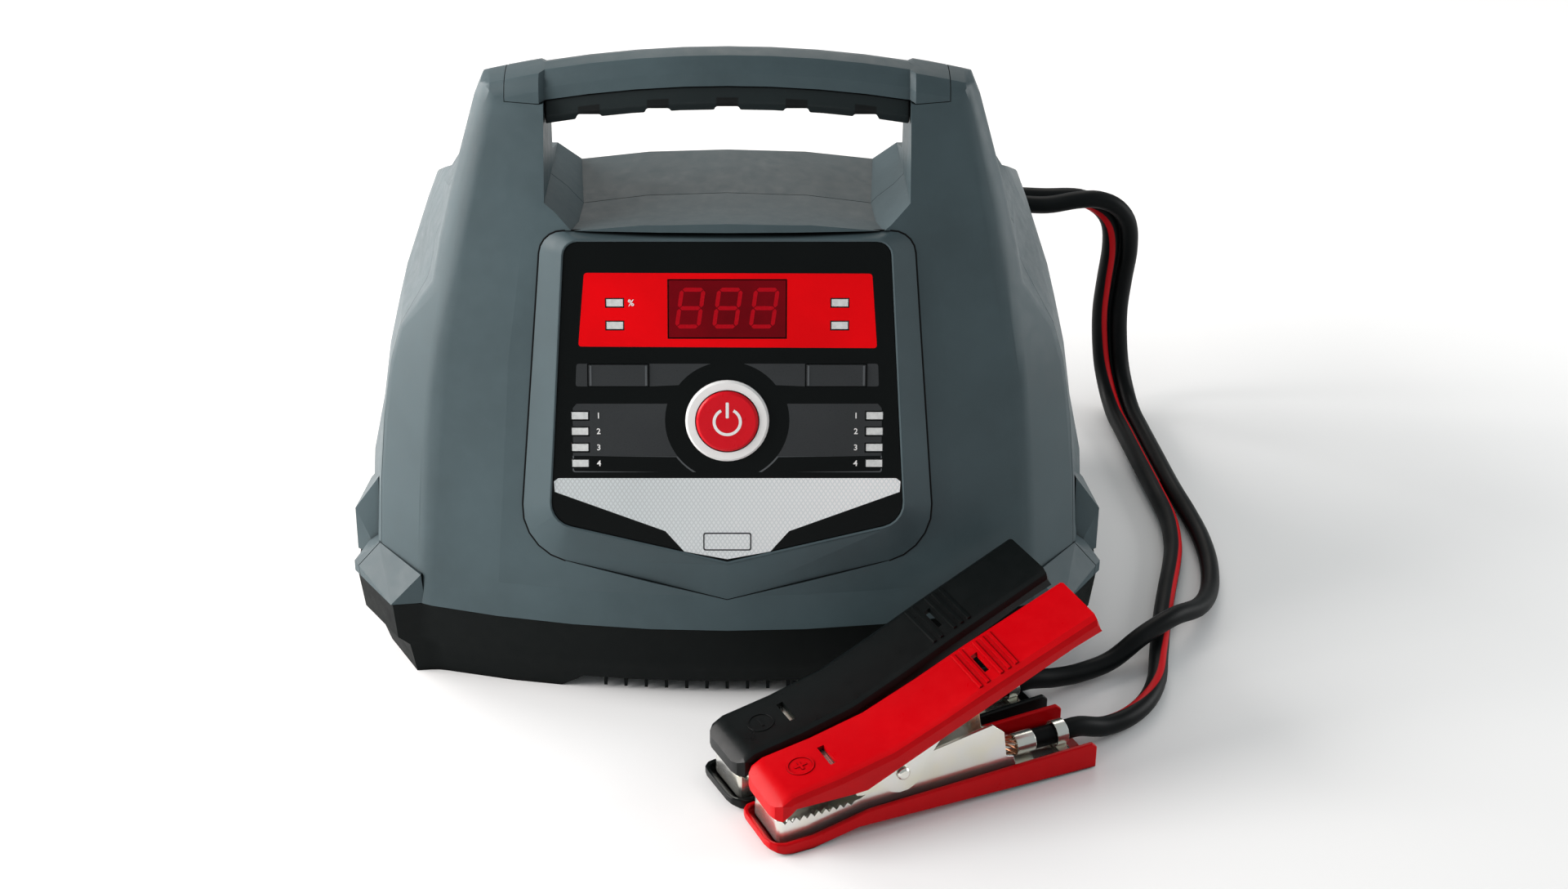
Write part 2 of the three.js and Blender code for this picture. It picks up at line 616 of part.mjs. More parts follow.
function addPiece(parent, name, form, finish) {
  const geometry = form instanceof THREE.BufferGeometry ? form : toGeometry(form);
  const mesh = new THREE.Mesh(geometry, new THREE.MeshStandardMaterial(FINISH[finish]));
  mesh.name = name;
  parent.add(mesh);
}

// ---------------------------------------------------------------- housing

function addHousing() {
  const trims = [cornerTrim(1), cornerTrim(-1)];
  const hollow = shellForm(WALL);
  const below = box(-BODY_DEPTH, BODY_DEPTH, -BODY_DEPTH, BODY_DEPTH, 0, SEAM_HEIGHT);
  const capSpace = crownSpace(CAP_HALF_LENGTH + FIT_GAP, FIT_GAP);
  const bezelHole = plate(insetPolygon(bezelOutline, -FIT_GAP), -BEZEL_DEPTH - CUT_MARGIN, 2 * CUT_MARGIN);
  const shell = cut(join(shellForm(0), ...trims), hollow, below, capSpace, onPanel(bezelHole));
  const parting = partingBlock(0);
  const rearSide = partingBlock(FIT_GAP);
  const vents = Array.from({ length: VENT.slots }, (_, i) => {
    const z = FAN.z + (i - (VENT.slots - 1) / 2) * VENT.pitch;
    const x = [FAN.x - VENT.width / 2, FAN.x + VENT.width / 2];
    return box(x[0], x[1], REAR_Y - 2 * WALL, REAR_Y + CUT_MARGIN, z - VENT.height / 2, z + VENT.height / 2);
  });
  const glandHole = box(
    GLAND.x - GLAND.width / 2, GLAND.x + GLAND.width / 2, REAR_Y - 2 * WALL, REAR_Y + CUT_MARGIN,
    GLAND.z - GLAND.height / 2, GLAND.z + GLAND.height / 2,
  );
  const inletHole = alongY(turned([[INLET.radius, -CUT_MARGIN], [INLET.radius, 2 * WALL]]), INLET.x, REAR_Y - WALL, INLET.z);
  addPiece(assembly, "front_cover", shell.intersect(parting), "shell");
  addPiece(assembly, "rear_cover", cut(shell, rearSide, ...vents, glandHole, inletHole), "shell");
}

// Everything in front of the leaning plane where the two covers meet
function partingBlock(gap) {
  const y = (z) => FRONT_Y + PARTING_DEPTH + gap + (z - SEAM_HEIGHT) * Math.tan(LEAN);
  const [low, high] = [0, HANDLE_TOP + CUT_MARGIN];
  const outline = [[-BODY_DEPTH, low], [y(low), low], [y(high), high], [-BODY_DEPTH, high]];
  return loftAcross([-BODY_DEPTH, BODY_DEPTH].map((x) => outline.map(([py, pz]) => new THREE.Vector3(x, py, pz))));
}

// All the space above the underside of the handle's cap, out to a half length
function crownSpace(half, gap) {
  const over = [half, LEG_INNER_FRONT, 54, 40, 27, 13];
  const stations = [...over.map((x) => -x), 0, ...over.slice().reverse()];
  const ceiling = HANDLE_TOP + CUT_MARGIN;
  return loftAcross(stations.map((x) => [
    new THREE.Vector3(x, FRONT_Y, capFloor(x) - gap),
    new THREE.Vector3(x, REAR_Y, capFloor(x) - gap),
    new THREE.Vector3(x, REAR_Y, ceiling),
    new THREE.Vector3(x, FRONT_Y, ceiling),
  ]));
}

function addHandle() {
  const barHalf = LEG_INNER_FRONT - 2;
  const stations = [-CAP_HALF_LENGTH, -74, -LEG_INNER_FRONT, -barHalf, -50, -33, -16];
  const both = [...stations, 0, ...stations.slice().reverse().map((x) => -x)];
  const setback = (x) => (Math.abs(x) <= barHalf ? BAR_SETBACK : 0);
  const cap = loftAcross(both.map((x) => crownSection(x, capFloor(x), setback(x), 0)));
  const bar = both.filter((x) => Math.abs(x) <= barHalf);
  const hollowEnds = bar.map((x) => (Math.abs(x) === barHalf ? x * 0.95 : x));
  const hollow = loftAcross(hollowEnds.map((x) => crownSection(x, crestAt(x) - CAP_HEIGHT - 1, BAR_SETBACK, CAP_WALL)));
  addPiece(assembly, "handle_grip", cut(cap, hollow), "shell");

  const insert = loftAcross(bar.map((x) => x * 1.05).map((x) => {
    const top = crestAt(x) - CAP_HEIGHT - 1.5 * FIT_GAP;
    const bottom = top - INSERT_HEIGHT;
    const front = (z) => frontY(x, z) + BAR_SETBACK + INSERT_SETBACK;
    const rear = frontY(x, crestAt(x) - CAP_HEIGHT) + HANDLE_DEPTH - BAR_SETBACK - INSERT_SETBACK;
    return [
      [front(top), top],
      [front(top - 6) + 0.4, top - 6],
      [front(bottom) + 3.4, bottom],
      [rear - 4, bottom],
      [rear - 0.8, top - 6],
      [rear, top],
    ].map(([y, z]) => new THREE.Vector3(x, y, z));
  }));
  const notches = Array.from({ length: NOTCH_COUNT }, (_, i) => {
    const x = (i - (NOTCH_COUNT - 1) / 2) * NOTCH_PITCH;
    const floor = crestAt(x) - CAP_HEIGHT - 1.5 * FIT_GAP - INSERT_HEIGHT;
    const half = NOTCH_WIDTH / 2;
    const outline = [
      [x - half - 1.5, floor - 2], [x + half + 1.5, floor - 2],
      [x + half, floor + NOTCH_DEPTH], [x - half, floor + NOTCH_DEPTH],
    ];
    return sweepY(outline, FRONT_Y, REAR_Y);
  });
  const legs = [legColumn(1, -FIT_GAP), legColumn(-1, -FIT_GAP)];
  addPiece(assembly, "grip_insert", cut(insert, ...notches, ...legs), "insert");
}

// The base tray's outline at the seam
function basePlan(inset) {
  const plan = halfPlan(SEAM_HEIGHT);
  const half = [
    ...plan.slice(0, 4),
    [plan[4][0], plan[4][1], FRONT_EDGE_RADIUS],
    [CORNER_FRONT_X, plan[4][1] - 0.6, 0],
    [CORNER_SIDE_X, CORNER_SIDE_Y, 0],
    [SIDE_SKIRT_X, SIDE_SKIRT_FRONT_Y, 0],
    [SIDE_SKIRT_X, SIDE_SKIRT_FRONT_Y + SIDE_SKIRT_LENGTH, 0],
    ...plan.slice(-2),
  ];
  return insetPolygon(roundedOutline(bothHalves(half), EDGE_STEPS), inset);
}

// One level of the tray: the outline shrunk by the inset, narrowed, and pulled forward at its front corners
function baseRing(inset, z, narrow = 0, pull = 0) {
  return basePlan(inset).map(([x, y]) => {
    const forward = THREE.MathUtils.clamp((-y - BASE_PULL_START) / 20, 0, 1) * Math.min(1, x ** 2 / CORNER_FRONT_X ** 2);
    return new THREE.Vector3(x * (1 - narrow), y - pull * forward, z);
  });
}

function addBase() {
  const seat = SEAM_HEIGHT - FIT_GAP;
  const [upper, lower] = BASE_TIERS;
  const outer = loftUp([
    baseRing(BASE_INSET + BASE_TAPER, 0, lower.narrow, BASE_CORNER_PULL),
    baseRing(BASE_INSET + lower.inset, lower.z, lower.narrow),
    baseRing(BASE_INSET + upper.inset, upper.z, upper.narrow),
    baseRing(BASE_INSET, seat),
  ]);
  const inner = loftUp([
    baseRing(BASE_INSET + BASE_TAPER + WALL, BASE_FLOOR, lower.narrow),
    baseRing(BASE_INSET + WALL, seat + 1),
  ]);
  const wide = CHANNEL_HALF_WIDTH + CHANNEL_FLANK;
  const floorTop = CHANNEL_HEIGHT + BASE_FLOOR;
  const middle = box(-wide - BASE_FLOOR, wide + BASE_FLOOR, -BODY_DEPTH, BODY_DEPTH, 0, floorTop);
  const channel = sweepY(
    [[-wide, -CUT_MARGIN], [wide, -CUT_MARGIN], [wide, 0], [CHANNEL_HALF_WIDTH, CHANNEL_HEIGHT],
      [-CHANNEL_HALF_WIDTH, CHANNEL_HEIGHT], [-wide, 0]],
    -BODY_DEPTH, BODY_DEPTH,
  );
  const ribFront = (x) => FRONT_Y + prowDrop(x) + BASE_INSET + BASE_TAPER + FIT_GAP;
  const ribAt = (i) => (i - (RIB_COUNT - 1) / 2) * RIB_PITCH;
  const ribs = Array.from({ length: RIB_COUNT }, (_, i) => {
    const x = ribAt(i);
    const half = RIB_THICKNESS / 2;
    return box(x - half, x + half, ribFront(x), ribFront(x) + RIB_LENGTH, RIB_CLEARANCE, CHANNEL_HEIGHT + 1);
  });
  const slots = Array.from({ length: RIB_COUNT - 1 }, (_, i) => {
    const x = ribAt(i + 0.5);
    const half = (RIB_PITCH - RIB_THICKNESS) / 2 - 1;
    return box(x - half, x + half, ribFront(x) + 14, ribFront(x) + RIB_LENGTH - 2, 0, floorTop + 1);
  });
  const screwHoles = screwPlaces().map(([x, y]) => turned(
    [[SCREW.head + FIT_GAP, -1], [SCREW.head + FIT_GAP, SCREW.headHeight + 0.4],
      [SCREW.shank + FIT_GAP, SCREW.headHeight + 0.4], [SCREW.shank + FIT_GAP, SEAM_HEIGHT]], x, y,
  ));
  const posts = screwPlaces().map(([x, y]) => turned([[SCREW.head + WALL, 0.5], [SCREW.head + 1, SCREW.length + 3]], x, y));
  const tray = cut(join(cut(outer, cut(inner, middle), channel), ...ribs, ...posts), ...slots, ...screwHoles);
  addPiece(assembly, "base_tray", tray, "base");
  screwPlaces().forEach(([x, y], i) => {
    const screw = turned([
      [SCREW.head - 0.6, FIT_GAP], [SCREW.head, FIT_GAP + 0.7], [SCREW.head, SCREW.headHeight],
      [SCREW.shank, SCREW.headHeight], [SCREW.shank, SCREW.length],
    ], x, y, 16);
    addPiece(assembly, `base_screw_${i + 1}`, screw, "zinc");
  });
}

function screwPlaces() {
  return [[SCREW.x, SCREW.frontY], [-SCREW.x, SCREW.frontY], [SCREW.x, SCREW.rearY], [-SCREW.x, SCREW.rearY]];
}

// ---------------------------------------------------------------- control panel

function addPanel() {
  const panel = new THREE.Group();
  panel.applyMatrix4(panelFrame);
  assembly.add(panel);
  const face = (u) => PANEL_SETBACK - prowDrop(u) * Math.cos(LEAN);
  const loop = (outline, inset, w) => insetPolygon(outline, inset).map(([u, v]) => [u, v, w ?? face(u)]);
  const seat = OVERLAY_BACK - FIT_GAP;
  const ledgeBack = seat - 1.6;
  const bezel = loopSolid([
    loop(bezelOutline, 0, -BEZEL_DEPTH),
    loop(bezelOutline, 0),
    loop(overlayOutline, -RIM_WIDTH - FIT_GAP, RIM_HEIGHT - 0.3),
    loop(overlayOutline, -RIM_WIDTH / 2 - FIT_GAP, RIM_HEIGHT),
    loop(overlayOutline, -FIT_GAP, RIM_HEIGHT - 0.3),
    loop(overlayOutline, -FIT_GAP, seat),
    loop(overlayOutline, BEZEL_LEDGE, seat),
    loop(overlayOutline, BEZEL_LEDGE, ledgeBack),
    loop(overlayOutline, -FIT_GAP, ledgeBack),
    loop(overlayOutline, -FIT_GAP, -BEZEL_DEPTH),
  ]);
  const postPlaces = [
    [PANEL_HALF_TOP - BEZEL_LEDGE, PANEL_TOP - 8], [PANEL_HALF_BOTTOM - BEZEL_LEDGE - 1, PANEL_SIDE_BOTTOM + 10],
  ].flatMap(([u, v]) => [[u, v], [-u, v]]);
  const posts = postPlaces.map(([u, v]) => turned([[3, BOARD_FRONT + FIT_GAP], [3, ledgeBack + 0.4]], u, v, 12));
  addPiece(panel, "panel_bezel", join(bezel, ...posts), "shell");

  const windows = [...upperLights, ...lowerLights].flat().map(([u, v]) => rectangle(u, v, LIGHT_WIDTH, LIGHT_HEIGHT));
  const keys = [-1, 1].map((side) => rectangle(side * KEY.u, KEY.v, KEY.width, KEY.height));
  const overlay = plate(overlayOutline, OVERLAY_BACK, 0, [
    rectangle(DISPLAY.u, DISPLAY.v, DISPLAY.width, DISPLAY.height),
    ...windows,
    ...keys,
    circle(0, BUTTON_V, RING_RADIUS + FIT_GAP, 48),
  ]);
  addPiece(panel, "panel_overlay", overlay, "overlay");

  const boardRest = BOARD_FRONT + FIT_GAP;
  const boardHalf = PANEL_HALF_TOP + 1;
  const board = plate(
    roundedOutline([
      [-boardHalf, PANEL_SIDE_BOTTOM + 4, 3], [boardHalf, PANEL_SIDE_BOTTOM + 4, 3],
      [boardHalf, PANEL_TOP - 3, 3], [-boardHalf, PANEL_TOP - 3, 3],
    ], 3),
    BOARD_FRONT - BOARD_THICKNESS, BOARD_FRONT,
  );
  addPiece(panel, "control_board", board, "board");

  const glass = rectangle(DISPLAY.u, DISPLAY.v, DISPLAY.width - 2 * FIT_GAP, DISPLAY.height - 2 * FIT_GAP);
  addPiece(panel, "display_window", plate(glass, OVERLAY_BACK, -0.1), "window");
  const block = rectangle(DISPLAY.u, DISPLAY.v, DISPLAY.width - 3, DISPLAY.height - 2);
  addPiece(panel, "display_module", plate(block, boardRest, seat), "base");

  const lightPipe = (places) => {
    const middle = places.reduce((sum, [, v]) => sum + v, 0) / places.length;
    const span = Math.abs(places[0][1] - places[places.length - 1][1]);
    const back = rectangle(places[0][0], middle, LIGHT_WIDTH + 1, span + LIGHT_HEIGHT + 1);
    const prongs = places.map(([u, v]) => plate(
      rectangle(u, v, LIGHT_WIDTH - 2 * FIT_GAP, LIGHT_HEIGHT - 2 * FIT_GAP), seat - 1, -0.1,
    ));
    return join(plate(back, boardRest, seat), ...prongs);
  };
  addPiece(panel, "light_pipe_upper_left", lightPipe(upperLights[0]), "lens");
  addPiece(panel, "light_pipe_upper_right", lightPipe(upperLights[1]), "lens");
  addPiece(panel, "light_pipe_lower_left", lightPipe(lowerLights[0]), "lens");
  addPiece(panel, "light_pipe_lower_right", lightPipe(lowerLights[1]), "lens");

  const flangeBack = seat - FLANGE_THICKNESS;
  const addSwitch = (name, u, v, top) => {
    const body = plate(rectangle(u, v, SWITCH_SIZE, SWITCH_SIZE), boardRest, top - 1);
    addPiece(panel, name, join(body, turned([[1.7, top - 1.5], [1.7, top]], u, v, 12)), "base");
  };
  const addKey = (name, u) => {
    const top = plate(
      rectangle(u, KEY.v, KEY.width - 2 * FIT_GAP, KEY.height - 2 * FIT_GAP), flangeBack, KEY_RISE,
    );
    const wide = 2 * FLANGE_WIDTH;
    const flange = plate(rectangle(u, KEY.v, KEY.width + wide, KEY.height + wide), flangeBack, seat);
    const stem = turned([[1.6, flangeBack - 1.5], [1.6, seat]], u, KEY.v, 12);
    addPiece(panel, name, join(top, flange, stem), "overlay");
    addSwitch(`${name}_switch`, u, KEY.v, flangeBack - 1.5 - KEY_TRAVEL - FIT_GAP);
  };
  addKey("rate_key", -KEY.u);
  addKey("battery_type_key", KEY.u);

  const bore = BUTTON_RADIUS + FIT_GAP;
  const ring = turned([
    [RING_RADIUS + FLANGE_WIDTH, flangeBack], [RING_RADIUS + FLANGE_WIDTH, seat],
    [RING_RADIUS, seat], [RING_RADIUS, RING_RISE - 0.7], [RING_RADIUS - 0.8, RING_RISE],
  ], 0, BUTTON_V, 48);
  const hole = turned([[bore, flangeBack - 1], [bore, RING_RISE + 1]], 0, BUTTON_V, 48);
  addPiece(panel, "start_stop_ring", cut(ring, hole), "white");
  const buttonBack = flangeBack - FIT_GAP;
  const button = turned([
    [2, buttonBack - FLANGE_THICKNESS - 0.6], [2, buttonBack - FLANGE_THICKNESS],
    [BUTTON_RADIUS + FLANGE_WIDTH, buttonBack - FLANGE_THICKNESS], [BUTTON_RADIUS + FLANGE_WIDTH, buttonBack],
    [BUTTON_RADIUS, buttonBack], [BUTTON_RADIUS, BUTTON_RISE - 0.8], [BUTTON_RADIUS - 0.9, BUTTON_RISE],
  ], 0, BUTTON_V, 48);
  addPiece(panel, "start_stop_button", button, "redKey");
  addSwitch("start_stop_switch", 0, BUTTON_V, buttonBack - FLANGE_THICKNESS - 0.6 - BUTTON_TRAVEL - FIT_GAP);
}

// ---------------------------------------------------------------- inside

function addPower() {
  const rest = CHANNEL_HEIGHT + BASE_FLOOR + FIT_GAP;
  const side = (CORE.width - CORE.leg - 2 * CORE.window) / 2;
  const opening = CORE.height - 2 * side;
  const middleZ = rest + CORE.height / 2;
  const windowX = CORE.leg / 2 + CORE.window / 2;
  const windows = [-1, 1].map((end) => rectangle(CORE.x + end * windowX, middleZ, CORE.window, opening));
  const outline = rectangle(CORE.x, middleZ, CORE.width, CORE.height);
  const core = sweepY(outline, CORE.y - CORE.depth / 2, CORE.y + CORE.depth / 2, windows);
  addPiece(assembly, "transformer_core", core, "iron");

  const coilX = CORE.leg / 2 + CORE.window - FIT_GAP;
  const coilY = CORE.depth / 2 + COIL_BULGE;
  const outer = roundedOutline([
    [CORE.x - coilX, CORE.y - coilY, 9], [CORE.x + coilX, CORE.y - coilY, 9],
    [CORE.x + coilX, CORE.y + coilY, 9], [CORE.x - coilX, CORE.y + coilY, 9],
  ]);
  const bore = rectangle(CORE.x, CORE.y, CORE.leg + 2 * FIT_GAP, CORE.depth + 2 * FIT_GAP);
  const coil = plate(outer, rest + side + FIT_GAP, rest + side + opening - FIT_GAP, [bore]);
  addPiece(assembly, "transformer_coil", coil, "winding");

  const finGap = (SINK.width - SINK.finThickness) / (SINK.fins - 1);
  const x0 = SINK.x - SINK.width / 2;
  const comb = Array.from({ length: SINK.fins }, (_, i) => box(
    x0 + i * finGap, x0 + i * finGap + SINK.finThickness, SINK.y, SINK.y + SINK.depth, rest, rest + SINK.finHeight,
  ));
  const strip = 4 * DIODE_RADIUS;
  const base = box(x0, x0 + SINK.width, SINK.y - strip, SINK.y + SINK.depth, rest, rest + SINK.base);
  addPiece(assembly, "heat_sink", join(base, ...comb), "aluminium");
  [-1, 1].forEach((end, i) => {
    const foot = rest + SINK.base + FIT_GAP;
    const diode = turned([
      [DIODE_RADIUS, foot], [DIODE_RADIUS, foot + DIODE_HEIGHT * 0.7], [1.2, foot + DIODE_HEIGHT * 0.8],
      [1.2, foot + DIODE_HEIGHT * 2],
    ], SINK.x + end * SINK.width / 4, SINK.y - strip / 2, 16);
    addPiece(assembly, `rectifier_diode_${i + 1}`, diode, "iron");
  });
  const [bx, by] = [BREAKER.width / 2, BREAKER.depth / 2];
  const breaker = join(
    box(BREAKER.x - bx, BREAKER.x + bx, BREAKER.y - by, BREAKER.y + by, rest, rest + BREAKER.height),
    box(BREAKER.x - bx + 4, BREAKER.x - bx + 10, BREAKER.y - 0.5, BREAKER.y + 0.5, rest, rest + BREAKER.height + 8),
    box(BREAKER.x + bx - 10, BREAKER.x + bx - 4, BREAKER.y - 0.5, BREAKER.y + 0.5, rest, rest + BREAKER.height + 8),
  );
  addPiece(assembly, "thermal_breaker", breaker, "base");
}

function addFan() {
  const back = REAR_Y - WALL - FIT_GAP;
  const front = back - FAN.depth;
  const half = FAN.size / 2;
  const bore = half - 2;
  const strut = 3;
  const frame = cut(
    box(FAN.x - half, FAN.x + half, front, back, FAN.z - half, FAN.z + half),
    alongY(turned([[bore, -1], [bore, FAN.depth + 1]]), FAN.x, front, FAN.z),
  );
  const arms = [0, 1].map((turn) => box(
    FAN.x - (turn ? 2 : bore + 1), FAN.x + (turn ? 2 : bore + 1), back - strut, back,
    FAN.z - (turn ? bore + 1 : 2), FAN.z + (turn ? bore + 1 : 2),
  ));
  const disc = alongY(turned([[FAN.hub, 0], [FAN.hub, strut]]), FAN.x, back - strut, FAN.z);
  addPiece(assembly, "fan_housing", join(frame, ...arms, disc), "base");

  const depth = FAN.depth - strut - 3;
  const hub = turned([[FAN.hub - 1, 0], [FAN.hub, 1], [FAN.hub, depth]]);
  const tilt = new THREE.Matrix4().makeRotationX(THREE.MathUtils.degToRad(FAN.bladeTilt));
  const reach = bore - 1.5;
  const blades = Array.from({ length: FAN.blades }, (_, i) => {
    const place = new THREE.Matrix4().makeRotationZ((i / FAN.blades) * 2 * Math.PI)
      .multiply(new THREE.Matrix4().makeTranslation(0, 0, depth / 2)).multiply(tilt);
    return box(FAN.hub - 2, reach, -depth * 0.62, depth * 0.62, -0.8, 0.8).transform(place.toArray());
  });
  const disk = turned([[reach, 0.3], [reach, depth - 0.3]]);
  const rotor = join(hub, join(...blades).intersect(disk));
  addPiece(assembly, "fan_rotor", alongY(rotor, FAN.x, front + 2, FAN.z), "insert");
}

// ---------------------------------------------------------------- glands and leads

function addGlands() {
  const outside = REAR_Y + FIT_GAP;
  const stadium = (inset) => roundedOutline([
    [GLAND.x - GLAND.width / 2 + inset, GLAND.z - GLAND.height / 2 + inset, 3],
    [GLAND.x + GLAND.width / 2 - inset, GLAND.z - GLAND.height / 2 + inset, 3],
    [GLAND.x + GLAND.width / 2 - inset, GLAND.z + GLAND.height / 2 - inset, 3],
    [GLAND.x - GLAND.width / 2 + inset, GLAND.z + GLAND.height / 2 - inset, 3],
  ], 3);
  const inner = sweepY(stadium(FIT_GAP), REAR_Y - 2 * WALL, outside + 0.1);
  const flange = sweepY(stadium(-2), outside, outside + GLAND.flange);
  const nose = sweepY(stadium(1), outside + 1, REAR_Y + GLAND.depth);
  addPiece(assembly, "output_gland", join(inner, flange, nose), "rubber");

  const wall = INLET.radius - FIT_GAP;
  const body = turned([
    [wall, -2 * WALL], [wall, FIT_GAP], [wall + 2.8, FIT_GAP], [wall + 2.8, FIT_GAP + INLET.flange],
    [wall - 1, FIT_GAP + INLET.flange], [wall - 2, INLET.depth],
  ]);
  const bore = turned([[INLET.bore, -CUT_MARGIN - WALL], [INLET.bore, INLET.depth + 1]]);
  addPiece(assembly, "mains_inlet_gland", alongY(cut(body, bore), INLET.x, REAR_Y, INLET.z), "rubber");
}

// Where the two leads run side by side: a centre point and the direction from red to black
const TWIN_PATH = [
  [[96, 113.4, 101], [1, 0, 0]],
  [[96, 117.5, 101], [0.99, -0.1, 0]],
  [[98, 124, 101], [0.92, -0.4, 0]],
  [[102.4, 129.6, 101], [0.7, -0.71, 0]],
  [[108.4, 133.2, 100.8], [0.4, -0.92, 0]],
  [[115.5, 134.6, 100.3], [0.1, -0.99, 0]],
  [[125, 134.4, 99.4], [0, -1, 0]],
  [[139, 132.8, 99.4], [0, -1, 0]],
  [[152, 132, 100.9], [0, -0.97, 0.26]],
  [[160.5, 132, 99.8], [0.2, -0.82, 0.54]],
  [[167.6, 132, 95.5], [0.57, -0.57, 0.57]],
  [[171.9, 132.2, 88], [0.89, -0.31, 0.32]],
  [[173, 132.7, 76], [1, -0.09, 0]],
  [[172, 134.2, 61], [1, 0, 0]],
  [[171.2, 135.2, 46], [1, 0, 0]],
  [[171.8, 135.3, 32], [1, 0, 0]],
  [[173.2, 132, 18.5], [1, 0, 0]],
  [[175.3, 123, 9], [1, 0, 0]],
  [[177, 111, 5.2], [1, 0.1, 0]],
  [[179, 99, 4.3], [1, 0.13, 0]],
  [[182.6, 74, 4.2], [1, 0.13, 0]],
  [[186.4, 48, 4.2], [1, 0.13, 0]],
];
const RED_PATH = [
  [185.2, 24, 4.2],
  [184.8, 5, 4.2],
  [182.5, -10, 4.2],
  [177, -33.5, 4.2],
  [172.3, -55, 4.2],
  [168.5, -76, 4.2],
  [165.3, -94, 4.2],
  [159.5, -108, 4.2],
  [151, -118.5, 4.4],
  [141, -125.8, 5.6],
];
const BLACK_PATH = [
  [194.2, 28, 4.2],
  [197, 8, 4.2],
  [197.4, -12, 4.2],
  [194.5, -32, 4.6],
  [187.5, -49, 8],
  [175.5, -62.5, 12.6],
  [162, -73.5, 11],
  [149, -83, 6],
  [136.5, -90.3, 5.4],
  [125.5, -95.9, 6.8],
];

function leadPoints(side, free, clamp) {
  const half = LEAD_SPACING / 2;
  const twin = TWIN_PATH.map(([centre, across]) => new THREE.Vector3(...centre)
    .addScaledVector(new THREE.Vector3(...across).normalize(), side * half).toArray());
  const turn = THREE.MathUtils.degToRad(clamp.turn);
  const along = (t, z) => [clamp.x + t * Math.cos(turn), clamp.y + t * Math.sin(turn), z];
  const end = CRIMP_T + CRIMP_LENGTH / 2 + FIT_GAP;
  return [...twin, ...free, along(CLAMP_LENGTH, LEAD_END_HEIGHT), along(STRAP_T, LEAD_END_HEIGHT), along(end, LEAD_END_HEIGHT)];
}

function addLeads() {
  const radius = LEAD_DIAMETER / 2;
  const red = tube(leadPoints(-1, RED_PATH, RED_CLAMP), radius, LEAD_SIDES, LEAD_STEPS);
  const black = tube(leadPoints(1, BLACK_PATH, BLACK_CLAMP), radius, LEAD_SIDES, LEAD_STEPS);
  addPiece(assembly, "red_lead", red, "rubber");
  addPiece(assembly, "black_lead", black, "rubber");
}

// ---------------------------------------------------------------- clamps

// An upright prism with a rounded front, as seen from above, that trims every clamp piece
function clampPlan(start, half, radius) {
  const end = CLAMP_LENGTH + 2 * CUT_MARGIN;
  const outline = roundedOutline([[start, -half, radius], [end, -half, 0], [end, half, 0], [start, half, radius]], 3);
  return plate(outline, -CUT_MARGIN, CLAMP_LENGTH);
}

// A folded sheet or moulded channel: an outer side view less an inner one, each trimmed in plan
function channel(outer, inner, start, half, wall, radius) {
  const block = sweepY(outer, -CLAMP_WIDTH, CLAMP_WIDTH).intersect(clampPlan(start, half, radius));
  const room = sweepY(inner, -CLAMP_WIDTH, CLAMP_WIDTH).intersect(clampPlan(start + wall, half - wall, radius - wall));
  return cut(block, room);
}

function earArc(from, to, steps) {
  return Array.from({ length: steps + 1 }, (_, i) => {
    const angle = THREE.MathUtils.degToRad(from + ((to - from) * i) / steps);
    return [PIVOT_T + EAR_RADIUS * Math.cos(angle), PIVOT_Z + EAR_RADIUS * Math.sin(angle)];
  });
}

// A row of teeth along a line of [t, z] points; depth is towards the sheet
function teeth(line, depth) {
  const [from, to] = [line[0][0], line[line.length - 1][0]];
  const count = Math.floor((to - from) / TOOTH_PITCH);
  return Array.from({ length: count * 2 + 1 }, (_, i) => {
    const t = from + (i * TOOTH_PITCH) / 2;
    return [t, lerpTable(line, t) + (i % 2 ? depth : 0)];
  });
}

// The upper cover as a block: its side view carried across, with the top lowered towards both
// sides as COVER_EDGE gives it: [distance in from the side, drop]. Its first row lies outside
// the side, so that the plan trims it.
function coverBlock() {
  const lowerEdge = [[-3, 15.5], [0, 15], [5, 19.8], [28, 19.2], [33, 19.4], [65, 34], [115, 57.5], [126, 61.6]];
  const top = [...COVER_TOP.slice().reverse(), [0, 23], [-3, 20]];
  const stations = COVER_EDGE.map(([inwards, drop]) => [CLAMP_WIDTH / 2 - inwards, drop]);
  const across = [...stations.map(([n, drop]) => [-n, drop]), ...stations.slice().reverse()];
  const block = loftBack(across.map(([n, drop]) => [
    ...lowerEdge.map(([t, z]) => new THREE.Vector3(t, n, z)),
    ...top.map(([t, z]) => new THREE.Vector3(t, n, z - drop)),
  ].reverse()));
  return block.intersect(clampPlan(-3, CLAMP_WIDTH / 2, NOSE_RADIUS));
}

